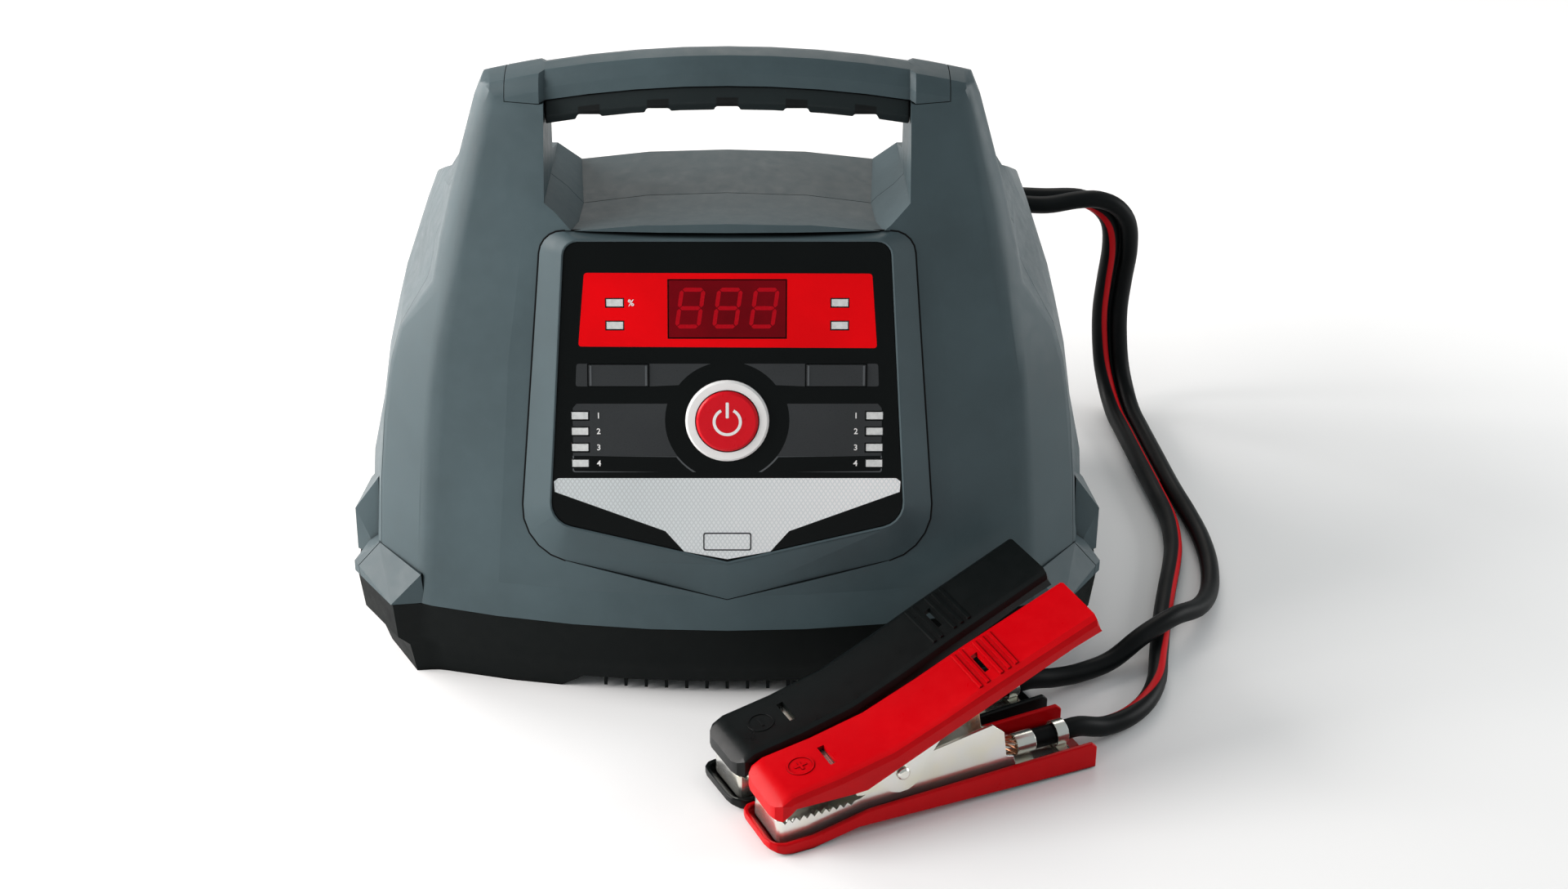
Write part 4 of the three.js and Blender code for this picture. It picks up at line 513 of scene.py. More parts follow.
def circuit_board(name):
    """Green board with paler tracks."""
    shader = Shader(name)
    tracks = shader.add(
        "ShaderNodeTexBrick", Vector=shader.place(), Scale=90, Color1=(0.012, 0.12, 0.05, 1),
        Color2=(0.01, 0.10, 0.04, 1), Mortar=(0.05, 0.2, 0.08, 1),
    ).outputs["Color"]
    shader.set(Base_Color=tracks, Roughness=shader.spread(shader.noise(2 * MM), 0.3, 0.45))
    return shader.material


# ---- forms


def owner(node):
    """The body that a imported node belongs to."""
    groups = frame["record"]["behaviour"]["bodies"]
    return next(body for body, members in groups.items() if node in members)


def new_piece(name, points, faces, material, body, uv=None):
    """A mesh from an array of points and a list of faces, turned outwards and softly shaded."""
    mesh = bpy.data.meshes.new(name)
    mesh.from_pydata(points.tolist(), [], faces)
    if uv is not None:
        layer = mesh.uv_layers.new(name="UVMap")
        layer.data.foreach_set("uv", uv.ravel())
    return added(name, outward(mesh), material, body, SMOOTH_NEW)


def outward(mesh, merge=0.0):
    """The mesh with its doubles merged and all faces turned outwards."""
    work = bmesh.new()
    work.from_mesh(mesh)
    if merge:
        bmesh.ops.remove_doubles(work, verts=work.verts, dist=merge)
    bmesh.ops.recalc_face_normals(work, faces=work.faces)
    work.to_mesh(mesh)
    work.free()
    return mesh


def added(name, mesh, material, body, crease=None):
    """A finished mesh as a piece of the scene."""
    mesh.name = name
    mesh.materials.clear()
    mesh.materials.append(material)
    if crease:
        mesh.polygons.foreach_set("use_smooth", [True] * len(mesh.polygons))
        mesh.set_sharp_from_angle(angle=math.radians(crease))
    piece = bpy.data.objects.new(name, mesh)
    bpy.context.scene.collection.objects.link(piece)
    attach(piece, body)
    return piece


def paint(node, material):
    """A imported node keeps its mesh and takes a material."""
    made = frame["nodes"][node]
    if not made.material_slots:
        made.data.materials.append(material)
    for place in made.material_slots:
        place.material = material


def refined(node, material, edge=0.0, steps=2):
    """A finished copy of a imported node: doubles merged, flat faces joined, edges rounded, soft shading."""
    work = bmesh.new()
    work.from_mesh(frame["nodes"][node].data)
    bmesh.ops.remove_doubles(work, verts=work.verts, dist=DOUBLES)
    bmesh.ops.dissolve_degenerate(work, dist=0.01 * MM, edges=work.edges)
    bmesh.ops.dissolve_limit(work, angle_limit=math.radians(0.8), verts=work.verts, edges=work.edges)
    mesh = bpy.data.meshes.new(node)
    work.to_mesh(mesh)
    work.free()
    piece = added(f"{node}_finish", mesh, material, owner(node), SMOOTH_PACKED)
    if edge:
        bevel = piece.modifiers.new("Rounded edges", "BEVEL")
        bevel.width = edge
        bevel.segments = steps
        bevel.limit_method = "ANGLE"
        bevel.angle_limit = BEVEL_ABOVE
        bevel.use_clamp_overlap = True
        bevel.harden_normals = False
        bevel.miter_outer = "MITER_ARC"
    soft = piece.modifiers.new("Even shading", "WEIGHTED_NORMAL")
    soft.keep_sharp = True
    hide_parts(node)
    return piece


def face_edge(node, out):
    """In order, the points of the closed edge where a piece's outer side meets the face that looks out."""
    work = bmesh.new()
    work.from_mesh(frame["nodes"][node].data)
    bmesh.ops.remove_doubles(work, verts=work.verts, dist=DOUBLES)
    work.normal_update()
    middle = sum((vert.co for vert in work.verts), Vector()) / len(work.verts)
    following = {}
    for edge in work.edges:
        side, face = sorted(edge.link_faces, key=lambda each: abs(each.normal.dot(out)))
        outer = side.normal.dot(edge.verts[0].co - middle) > 0
        if outer and abs(side.normal.dot(out)) < 0.05 and face.normal.dot(out) > 0.1:
            for one, other in (edge.verts, reversed(edge.verts)):
                following.setdefault(one.index, []).append(other.index)
    work.verts.ensure_lookup_table()
    row = [max(following, key=lambda index: (work.verts[index].co - middle).length)]
    ahead = following[row[0]]
    while ahead:
        row.append(ahead[0])
        ahead = [index for index in following[row[-1]] if index not in row]
    points = np.array([work.verts[index].co for index in row])
    work.free()
    return points


def smooth_route(points, step):
    """Catmull-Rom curve through the points, evenly spaced.

    On the span from b to c, with a before and d after it, the point at t is half of
    2b + (c - a)t + (2a - 5b + 4c - d)t^2 + (3b - a - 3c + d)t^3."""
    rows = np.asarray(points, float)
    ends = np.vstack([2 * rows[0] - rows[1], rows, 2 * rows[-1] - rows[-2]])
    t = np.linspace(0, 1, 24, endpoint=False)[:, None]
    before, first, second, after = (ends[i:len(ends) - 3 + i, None] for i in range(4))
    span = 0.5 * (
        2 * first + (second - before) * t + (2 * before - 5 * first + 4 * second - after) * t**2
        + (3 * first - before - 3 * second + after) * t**3
    )
    fine = np.vstack([span.reshape(-1, rows.shape[1]), rows[-1:]])
    run = np.concatenate([[0], np.cumsum(np.linalg.norm(np.diff(fine[:, :3], axis=0), axis=1))])
    even = np.linspace(0, run[-1], max(2, int(round(run[-1] / step))) + 1)
    return np.column_stack([np.interp(even, run, fine[:, i]) for i in range(fine.shape[1])])


def unit(rows):
    """Each row divided by its own length."""
    return rows / np.linalg.norm(rows, axis=1, keepdims=True)


def frames(path, aside):
    """At each point of the path: the direction along, aside made square to it, and along x aside."""
    along = unit(np.gradient(path, axis=0))
    aside = unit(aside - along * np.sum(aside * along, axis=1, keepdims=True))
    return along, aside, np.cross(along, aside)


def turned_about(path, aside, angle):
    """The aside direction turned about the path: a cos(angle) + (along x a) sin(angle) at each point."""
    _, first, second = frames(path, aside)
    return first * np.cos(angle)[:, None] + second * np.sin(angle)[:, None]


def ring_faces(rows, count, closed=False):
    """Four-sided faces between neighbouring rings of count points."""
    i, j = np.meshgrid(np.arange(rows if closed else rows - 1), np.arange(count), indexing="ij")
    k, n = (j + 1) % count, (i + 1) % rows
    return np.stack([i * count + j, i * count + k, n * count + k, n * count + j], -1).reshape(-1, 4).tolist()


def swept(path, aside, profile):
    """A profile carried along a path: point = path + p*aside + q*(along x aside) for each (p, q).

    Returns points, faces with both ends closed, and corner UVs: U once round, V once along."""
    _, first, second = frames(path, aside)
    rows, count = len(path), len(profile)
    grid = path[:, None] + profile[:, :1] * first[:, None] + profile[:, 1:] * second[:, None]
    i, j = np.meshgrid(np.arange(rows - 1), np.arange(count), indexing="ij")
    around = np.stack([j, j + 1, j + 1, j], -1) / count
    length = np.stack([i, i, i + 1, i + 1], -1) / (rows - 1)
    sides = np.stack([around, length], -1).reshape(-1, 2)
    ends = [list(range(count))[::-1], [(rows - 1) * count + n for n in range(count)]]
    return grid.reshape(-1, 3), ring_faces(rows, count) + ends, np.vstack([sides, np.zeros((2 * count, 2))])


def ring(radius, sides):
    """Points of a circle: (r cos a, r sin a)."""
    angle = np.arange(sides) / sides * 2 * np.pi
    return np.column_stack([radius * np.cos(angle), radius * np.sin(angle)])


def swept_piece(name, path, aside, profile, material, body):
    """A piece made by carrying a profile along a path."""
    points, faces, uv = swept(path, aside, profile)
    return new_piece(name, points, faces, material, body, uv)


def closed_strip(name, loop, out, profile, material, body):
    """A profile carried round a closed path: point = path + p*(out x along) + q*out for each (p, q)."""
    along = unit(np.roll(loop, -1, axis=0) - np.roll(loop, 1, axis=0))
    aside = unit(np.cross(out, along))
    grid = loop[:, None] + profile[:, :1] * aside[:, None] + profile[:, 1:] * np.asarray(out)
    faces = ring_faces(len(loop), len(profile), closed=True)
    return new_piece(name, grid.reshape(-1, 3), faces, material, body)


def settings():
    """The sizes and colours of the scene."""
    return bpy.context.scene.charger


# ---- stage


class CHARGER_OT_stage(bpy.types.Operator):
    """Camera, pale floor and soft light"""

    bl_idname = "charger.stage"
    bl_label = "Stage"

    def execute(self, context):
        stage = settings().stage
        aim = Vector((0, 0, stage.aim_height))
        back = Vector((0, -math.cos(stage.elevation), math.sin(stage.elevation)))
        lens = bpy.data.cameras.new("camera")
        lens.lens = stage.lens
        lens.sensor_width = 36
        lens.shift_x = stage.side_shift
        camera = bpy.data.objects.new("camera", lens)
        camera.location = aim + stage.distance * back
        camera.rotation_euler = (math.pi / 2 - stage.elevation, 0, 0)
        context.scene.collection.objects.link(camera)
        context.scene.camera = camera

        world = bpy.data.worlds.new("studio")
        world.use_nodes = True
        sky = world.node_tree.nodes["Background"]
        sky.inputs["Color"].default_value = SKY_COLOUR
        sky.inputs["Strength"].default_value = stage.sky_strength
        context.scene.world = world
        context.scene.view_settings.view_transform = "Standard"

        for name, place, size, colour in LAMPS:
            self.lamp(name, place, size, getattr(stage, f"{name}_power"), colour)

        paper = mottled(
            "floor_paper", 0.6, tuple(stage.floor_colour), shade(stage.floor_colour, 0.985), Roughness=0.8,
        )
        height = CAD_BOX[0].z - FLOOR_GAP
        corners = np.array([[-1, -1], [1, -1], [1, 1], [-1, 1]]) * FLOOR_REACH
        mesh = bpy.data.meshes.new("floor")
        mesh.from_pydata([(x, y, height) for x, y in corners], [], [(0, 1, 2, 3)])
        mesh.materials.append(paper)
        floor = bpy.data.objects.new("floor", mesh)
        context.scene.collection.objects.link(floor)
        return {"FINISHED"}

    def lamp(self, name, place, size, power, colour):
        """A square soft lamp that faces the object."""
        light = bpy.data.lights.new(name, "AREA")
        light.color = colour
        light.shape = "RECTANGLE"
        light.size = light.size_y = size
        light.energy = power
        lamp = bpy.data.objects.new(name, light)
        lamp.location = place
        aim = LAMP_AIM - lamp.location
        lamp.rotation_euler = aim.to_track_quat("-Z", "Y").to_euler()
        bpy.context.scene.collection.objects.link(lamp)


# ---- leads


def in_clamp(colour, rows):
    """Points (t, n, z) of a clamp's own frame as an array in the shared frame: turned, then moved."""
    place = CLAMPS[colour]
    c, s = math.cos(place["turn"]), math.sin(place["turn"])
    t, n, z = np.asarray(rows, float).T
    return np.column_stack([place["tip"].x + t * c - n * s, place["tip"].y + t * s + n * c, z])


def lead_route(colour):
    """Control rows (x, y, z, the direction from the red to the black lead, and the turn) of one lead."""
    side = -1 if colour == "red" else 1
    centres = np.array([point for point, _ in TWIN_ROUTE], float) * MM
    across = unit(np.array([direction for _, direction in TWIN_ROUTE], float))
    twin = centres + side * across * LEAD_SPACING / 2
    free = np.array(RED_ROUTE if colour == "red" else BLACK_ROUTE, float) * MM
    end = CRIMP_MIDDLE + CRIMP_HALF + 0.3 * MM
    last = in_clamp(colour, [(t, 0, LEAD_END_HEIGHT) for t in (CLAMP_LENGTH, STRAP_T, end)])
    rest = np.vstack([free, last])
    along = np.gradient(np.vstack([twin[-1:], rest]), axis=0)[1:]
    level = unit(np.cross([0.0, 0.0, 1.0], along))
    turn = np.interp(np.arange(len(twin) + len(rest)), *STRIPE_TURN)
    return np.column_stack([np.vstack([twin, rest]), np.vstack([across, level]), turn])


class CHARGER_OT_leads(bpy.types.Operator):
    """The two output leads: joined side by side from the gland, then free to each clamp"""

    bl_idname = "charger.leads"
    bl_label = "Output leads"

    def execute(self, context):
        leads = settings().leads
        plain = lead_sheath("lead_black", tuple(leads.sheath_colour))
        striped = lead_sheath(
            "lead_striped", tuple(leads.sheath_colour), tuple(leads.stripe_colour), leads.stripe_share,
        )
        body = owner("red_lead")
        made = {}
        for colour, material in (("red", striped), ("black", plain)):
            rows = smooth_route(lead_route(colour), leads.step)
            path = rows[:, :3]
            aside = turned_about(path, rows[:, 3:6], np.radians(rows[:, 6]))
            section = ring(LEAD_RADIUS, leads.sides)
            piece = swept_piece(f"{colour}_lead_sheath", path, aside, section, material, body)
            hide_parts(f"{colour}_lead")
            made[colour] = (piece, path)
        twin = np.array([(*point, *across) for point, across in TWIN_ROUTE], float)
        twin[:, :3] *= MM
        centre = smooth_route(twin, leads.step)
        web = np.array([(-1.3, -0.7), (1.3, -0.7), (1.3, 0.7), (-1.3, 0.7)]) * MM
        # The web stops two steps before the leads part
        swept_piece("lead_web", centre[:-2, :3], centre[:-2, 3:], web, plain, body)
        for colour, (piece, path) in made.items():
            with_pieces = [f"{colour}_{part}" for part in (
                "upper_cover_finish", "lower_cover_finish", "upper_jaw_finish", "lower_jaw_finish",
                "pivot_rivet_finish", "wire_spring", "crimp_finish", "lead_strap_finish", "strands",
                "polarity_mark",
            )]
            if colour == "red":
                with_pieces += ["output_gland_finish", "lead_web"]
        return {"FINISHED"}


# ---- housing


class CHARGER_OT_housing(bpy.types.Operator):
    """Covers, handle, base tray and glands"""

    bl_idname = "charger.housing"
    bl_label = "Housing"

    def execute(self, context):
        housing = settings().housing
        edge, steps = housing.edge_radius, housing.bevel_steps
        shell = moulded_plastic("shell_grey", tuple(housing.shell_colour), 0.48, housing.grain_size)
        base = moulded_plastic("base_black", tuple(housing.base_colour), 0.55, housing.grain_size, shine=0.08)
        # The grip insert's finger notches get painted shade
        insert = moulded_plastic(
            "grip_dark", (0.009, 0.015, 0.016), 0.6, 0.8 * MM, 0.05 * MM, shine=0.2, painted_hollow_shade=notch_shade_share,
        )
        # Painted shade: a dark strip in the joint round the bezel stands for the shadow in the gap
        gap_shade = moulded_plastic("seal_black", (0.004, 0.004, 0.0045), 0.6, 0.6 * MM, shine=0.1)
        rubber = moulded_plastic("gland_rubber", (0.012, 0.012, 0.013), 0.6, 0.6 * MM)
        for node in ("front_cover", "rear_cover", "handle_grip"):
            refined(node, shell, edge, steps)
        refined("panel_bezel", shell, 0.7 * MM, steps)
        self.seam(gap_shade)
        refined("grip_insert", insert, edge, steps)
        refined("base_tray", base, 0.5 * MM, 2)
        refined("output_gland", rubber, 0.5 * MM, 2)
        refined("mains_inlet_gland", rubber, 0.4 * MM, 2)
        return {"FINISHED"}

    def seam(self, material):
        """A dark strip at the foot of the joint round the bezel: painted shade for the shadow in the gap."""
        out = panel_matrix().to_3x3() @ Vector((0, 0, 1))
        half, top, foot = 0.6 * MM, -0.12 * MM, -0.8 * MM
        profile = np.array([(-half, foot), (half, foot), (half, top), (-half, top)])
        loop = face_edge("panel_bezel", out)
        closed_strip("bezel_seal", loop, out, profile, material, owner("panel_bezel"))


class CHARGER_OT_inside(bpy.types.Operator):
    """Parts inside the housing, seen through the vents and from below"""

    bl_idname = "charger.inside"
    bl_label = "Inside"

    def execute(self, context):
        iron = bare_metal("core_iron", (0.20, 0.21, 0.22), 0.5, (1, 0.1, 1))
        aluminium = bare_metal("sink_aluminium", (0.62, 0.63, 0.64), 0.38, (1, 0.15, 1))
        zinc = plated_steel("screw_zinc")
        black = moulded_plastic("part_black", (0.012, 0.012, 0.013), 0.45, 0.4 * MM)
        board = circuit_board("board_green")
        black_parts = (
            "thermal_breaker", "fan_housing", "fan_rotor", "display_module", "rate_key_switch",
            "battery_type_key_switch", "start_stop_switch",
        )
        finishes = {
            "transformer_core": iron,
            "transformer_coil": enamelled_wire("coil_wire"),
            "heat_sink": aluminium,
            "rectifier_diode_1": aluminium,
            "rectifier_diode_2": aluminium,
            "control_board": board,
            **dict.fromkeys(black_parts, black),
            **{f"base_screw_{i}": zinc for i in range(1, 5)},
        }
        for node, material in finishes.items():
            paint(node, material)
        return {"FINISHED"}


# ---- control panel


def panel_matrix():
    """From panel places (u across, v up the face, w out of it) to the shared frame."""
    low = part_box("panel_overlay")[0]
    across = Vector((1, 0, 0))
    up = Vector((0, math.sin(PANEL_LEAN), math.cos(PANEL_LEAN)))
    out = Vector((0, -math.cos(PANEL_LEAN), math.sin(PANEL_LEAN)))
    foot = Vector((0, low.y, low.z + OVERLAY_DEPTH * math.sin(PANEL_LEAN))) - up * OVERLAY_TIP
    turn = Matrix((across, up, out)).transposed().to_4x4()
    return Matrix.Translation(foot) @ turn


def corner_round(outline, radii, steps=5):
    """Each corner of a closed outline swapped for a quadratic curve that touches both its sides."""
    points = np.asarray(outline, float)
    radii = np.broadcast_to(np.asarray(radii, float), len(points))
    before = unit(np.roll(points, 1, axis=0) - points)
    after = unit(np.roll(points, -1, axis=0) - points)
    t = np.linspace(0, 1, steps)[None, :, None]
    start = (points + before * radii[:, None])[:, None]
    end = (points + after * radii[:, None])[:, None]
    return ((1 - t) ** 2 * start + 2 * t * (1 - t) * points[:, None] + t**2 * end).reshape(-1, 2)


def oblong(u, v, width, height, radius=0.0):
    """The corners of a rectangle about a middle, rounded if it has a radius."""
    w, h = width / 2, height / 2
    corners = [(u - w, v - h), (u + w, v - h), (u + w, v + h), (u - w, v + h)]
    return corner_round(corners, radius) if radius else np.array(corners)


def arc(u, v, radius, start, end, steps):
    """Points of an arc: centre + r(cos a, sin a) for a from start to end in degrees."""
    angle = np.radians(np.linspace(start, end, steps))
    return np.column_stack([u + radius * np.cos(angle), v + radius * np.sin(angle)])


def mirrored(outline):
    """The outline on the other side of the panel, in the same sense."""
    return (np.asarray(outline) * [-1, 1])[::-1]


def light_notch(v, upper, lower):
    """Four corners that leave the light of one row free, in from the edge of an area and back to it."""
    top, bottom = v + LIGHT_NOTCH_HALF, v - LIGHT_NOTCH_HALF
    return [(upper, top), (LIGHT_NOTCH_U, top), (LIGHT_NOTCH_U, bottom), (lower, bottom)]


def flat_print(
    name, outlines, material, base=0.0, rise=PRINT_RISE, node="panel_overlay", place=None,
):
    """A thin printed film from closed outlines in panel millimetres; an outline inside another is a hole.

    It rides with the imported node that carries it."""
    shape = bpy.data.curves.new(name, "CURVE")
    shape.dimensions = "2D"
    shape.fill_mode = "BOTH"
    shape.extrude = rise / 2 * MM
    for outline in outlines:
        line = shape.splines.new("POLY")
        line.points.add(len(outline) - 1)
        rows = np.column_stack([np.asarray(outline) * MM, np.zeros(len(outline)), np.ones(len(outline))])
        line.points.foreach_set("co", rows.ravel())
        line.use_cyclic_u = True
    film_from(name, shape, material, base + rise / 2, node, place or panel_matrix())


def film_from(name, shape, material, height, node, place):
    """A flat curve or a text made a mesh, then put at a height above its place."""
    maker = bpy.data.objects.new(f"{name}_outline", shape)
    bpy.context.scene.collection.objects.link(maker)
    bpy.context.view_layer.update()
    mesh = bpy.data.meshes.new_from_object(maker.evaluated_get(bpy.context.evaluated_depsgraph_get()))
    bpy.data.objects.remove(maker)
    mesh.transform(place @ Matrix.Translation((0, 0, height * MM)))
    added(name, outward(mesh, merge=0.002 * MM), material, owner(node))


def figures(name, words, places, size, material, base):
    """Plain figures centred on panel places, each one thin print."""
    for i, (word, (u, v)) in enumerate(zip(words, places)):
        text = bpy.data.curves.new(f"{name}_{i}", "FONT")
        text.body = word
        text.size = size * MM
        text.align_x = "CENTER"
        text.align_y = "CENTER"
        text.extrude = PRINT_RISE / 2 * MM
        text.offset = 0.05 * MM
        text.resolution_u = 3
        where = panel_matrix() @ Matrix.Translation((u * MM, v * MM, 0))
        film_from(f"{name}_{i}", text, material, base + PRINT_RISE / 2, "panel_overlay", where)


def seven_segments(u, v, width, height, slant, stroke):
    """The seven bars of a digit: pointed bars whose places lean by slant x height above the middle."""
    half_w, half_h = (width - stroke) / 2, (height - stroke) / 2
    gap, tip = 0.22, stroke / 2
    level = np.array([
        (-half_w + gap, 0), (-half_w + tip + gap, tip), (half_w - tip - gap, tip),
        (half_w - gap, 0), (half_w - tip - gap, -tip), (-half_w + tip + gap, -tip),
    ])
    upright = np.array([
        (0, gap), (tip, tip + gap), (tip, half_h - tip - gap),
        (0, half_h - gap), (-tip, half_h - tip - gap), (-tip, tip + gap),
    ])
    bars = [level + (0, y) for y in (-half_h, 0, half_h)]
    bars += [upright + (x, y) for x in (-half_w, half_w) for y in (-half_h, 0)]
    return [bar + np.column_stack([slant * bar[:, 1], 0 * bar[:, 1]]) + (u, v) for bar in bars]


class CHARGER_OT_panel(bpy.types.Operator):
    """Printed control panel: overlay, keys, window, lights and start button"""

    bl_idname = "charger.panel"
    bl_label = "Control panel"

    def execute(self, context):
        look = settings().panel
        gloss = gloss_film("overlay_black", (0.0030, 0.0040, 0.0040), 0.2, 0.12)
        field = gloss_film("field_red", tuple(look.field_colour), 0.35, 0.08)
        band = gloss_film("band_grey", tuple(look.band_colour), 0.3)
        # Light grey for printed outlines, and for painted highlights along the key edges
        line = gloss_film("line_grey", shade(tuple(look.band_colour), 2.6), 0.3)
        silver = silver_film("badge_silver", tuple(look.silver_colour))
        white = gloss_film("print_white", (0.80, 0.80, 0.79), 0.35)
        refined("panel_overlay", gloss)
        self.field(field)
        self.window()
        self.keys(band, line)
        self.side_areas(band, line, gloss)
        self.lights()
        self.badge(silver)
        self.button(white, tuple(look.button_colour))
        figures("unit_sign", "%", [(-35.2, 125.4)], 3.4, white, 0.1)
        for name, u in (("rate_figure", -47.6), ("type_figure", 47.6)):
            figures(name, "1234", [(u, v) for v in LOWER_LIGHT_ROWS], 3.1, white, 0.15)
        return {"FINISHED"}

    def field(self, material):
        """The red field, with holes for the window and the four upper lights."""
        outline = corner_round([(-54.7, 109.1), (55, 108.5), (52.9, 136.4), (-52.3, 136.7)], 1.3)
        holes = [oblong(0, 123.2, 43.8, 22.4)]
        holes += [oblong(side * 41.2, v, 7.0, 3.7) for side in (-1, 1) for v in (125.5, 117)]
        flat_print("field_print", [outline, *holes], material)

    def window(self):
        """The display window and its three unlit figures."""
        glass = mottled(
            "window_red", 16 * MM, (0.130, 0.0, 0.003), (0.178, 0.0, 0.004),
            Roughness=0.22, Specular_IOR_Level=0.1,
        )
        segment = mottled(
            "segment_red", 0.6 * MM, (0.38, 0.0, 0.006), (0.46, 0.001, 0.009),
            Roughness=0.35, Specular_IOR_Level=0.1,
        )
        paint("display_window", glass)
        bars = [
            bar for u in (-13.55, 0.1, 13.55) for bar in seven_segments(u, 123.5, 9.4, 15.3, 0.14, 1.5)
        ]
        flat_print("display_segments", bars, segment, -0.1, 0.04)

    def keys(self, band, line):
        """The grey bands beside the button, and the two keys with a light line at each end: a painted
        highlight on the raised key edges.
        """
        top, bottom = 102.6, 94.0
        inner = arc(*BUTTON_MIDDLE, 22.4, 106, 143, 14)
        inner = inner[(inner[:, 1] > bottom) & (inner[:, 1] < top)]
        inner_part = np.vstack([[(-28.6, top), (-6.6, top)], inner, [(-28.6, bottom)]])
        outer_part = corner_round(
            [(-55.9, bottom), (-51.6, bottom), (-51.6, top), (-55.5, top)], [1, 0.05, 0.05, 1],
        )
        flat_print("band_left", [inner_part, outer_part], band)
        flat_print("band_right", [mirrored(inner_part), mirrored(outer_part)], band)
        for node, side in (("rate_key", -1), ("battery_type_key", 1)):
            refined(node, band, 0.25 * MM, 2)
            # Painted highlight: light bars along the left and right edges of each key
            bars = [oblong(side * KEY_U + end * 10.2, KEY_V, 0.7, 7.6, 0.3) for end in (-1, 1)]
            flat_print(f"{node}_edges", bars, line, base=0.5, rise=0.12, node=node)

    def side_areas(self, band, line, gloss):
        """On each side of the button, the grey area of three lights and the outlined strip of the fourth."""
        top, middle, bottom = 87.4, 67.4, 61.1
        notches = [corner for v in LOWER_LIGHT_ROWS[:3] for corner in light_notch(v, -57.1, -57.2)]
        curve = arc(*BUTTON_MIDDLE, 23.0, 164, 217, 16)
        corner = [(-22.4, top), (-55.6, top), (-57.0, top - 1.6)]
        area = np.vstack([corner, notches, [(-57.3, middle)], curve[::-1]])
        strip_curve = arc(*BUTTON_MIDDLE, 23.0, 216.6, 239.5, 10)
        notch = light_notch(LOWER_LIGHT_ROWS[3], -57.4, -57.5)
        strip = np.vstack([[(-57.4, middle)], notch, [(-57.4, 61.6), (-56.8, bottom)], strip_curve[::-1]])
        inside_curve = arc(*BUTTON_MIDDLE, 23.6, 216.6, 237.8, 10)
        inside = np.vstack([
            [(-56.9, middle + 0.05)], np.array(notch) + [(0.5, 0.0), (0, 0), (0, 0), (0.5, 0.0)],
            [(-56.9, 61.9), (-56.5, bottom + 0.45)], inside_curve[::-1],
        ])
        outlines = (area, strip, inside)
        for name, rows in (("left", outlines), ("right", [mirrored(outline) for outline in outlines])):
            flat_print(f"area_{name}", [rows[0]], band)
            flat_print(f"strip_line_{name}", [rows[1]], line)
            flat_print(f"strip_{name}", [rows[2]], gloss, base=0.05)

    def lights(self):
        """Milky light pipes."""
        milky = mottled("lens_milky", 1.5 * MM, (0.56, 0.58, 0.575), (0.70, 0.72, 0.71), Roughness=0.3)
        for side in ("left", "right"):
            for row in ("upper", "lower"):
                paint(f"light_pipe_{row}_{side}", milky)

    def badge(self, silver):
        """The bare silver area and the small bare plate on it."""
        half = [(0.0, 27.2), (16.1, 30.2), (23.1, 38.2), (64.2, 53.5), (64.5, 57.5), (62.8, 58.8)]
        outline = np.vstack([half, [(-u, v) for u, v in half[::-1][:-1]]])
        flat_print("badge_print", [outline], silver)
        rim = Shader("plate_dark")
        rim.set(
            Base_Color=rim.blend(rim.noise(1 * MM), (0.02, 0.02, 0.022), (0.05, 0.05, 0.055)),
            Metallic=0.5, Roughness=0.35,
        )
        plate = oblong(0, 34.1, 18.0, 7.0, 1.0)
        inner = oblong(0, 34.1, 17.0, 6.0, 0.7)
        flat_print("plate_rim", [plate, inner], rim.material, base=0.05, rise=0.12)
        flat_print("plate_face", [inner], silver, base=0.05)

    def button(self, white, colour):
        """The start button in its ring, with a stand-by sign on its face."""
        ring_finish = moulded_plastic("ring_white", (0.83, 0.83, 0.82), 0.35, 0.6 * MM, 0.01 * MM, 0.02)
        red = moulded_plastic("button_red", colour, 0.3, 0.6 * MM, 0.01 * MM, 0.05, 0.2)
        refined("start_stop_ring", ring_finish, 0.25 * MM, 2)
        refined("start_stop_button", red, 0.3 * MM, 3)
        sign = np.vstack([arc(*BUTTON_MIDDLE, 5.4, 118, 422, 40), arc(*BUTTON_MIDDLE, 4.3, 422, 118, 40)])
        bar = oblong(0, 85.4, 1.15, 6.0, 0.4)
        flat_print("power_sign", [sign, bar], white, 2.2, node="start_stop_button")


# ---- clamps


def clamp_matrix(colour):
    """From a clamp's own frame to the shared frame."""
    place = CLAMPS[colour]
    return Matrix.Translation(place["tip"]) @ Matrix.Rotation(place["turn"], 4, "Z")


def spring_rows():
    """A leg, a helix round the pivot (t = r cos a, n = pitch x turns, z = r sin a) and a leg, in mm."""
    turns = np.linspace(0, SPRING_CURLS, int(SPRING_CURLS * 24) + 1)
    angle = np.pi / 2 + 2 * np.pi * turns
    across = (turns - SPRING_CURLS / 2) * SPRING_PITCH
    coil = np.column_stack([SPRING_RADIUS * np.cos(angle), across, SPRING_RADIUS * np.sin(angle)])
    coil += SPRING_MIDDLE
    legs = []
    for start, (t, z) in zip((coil[0], coil[-1]), SPRING_LEGS):
        end = np.array([t, start[1], z])
        legs.append(end + (start - end) * np.array([0.0, 0.5])[:, None])
    return np.vstack([legs[0], coil, legs[1][::-1]])


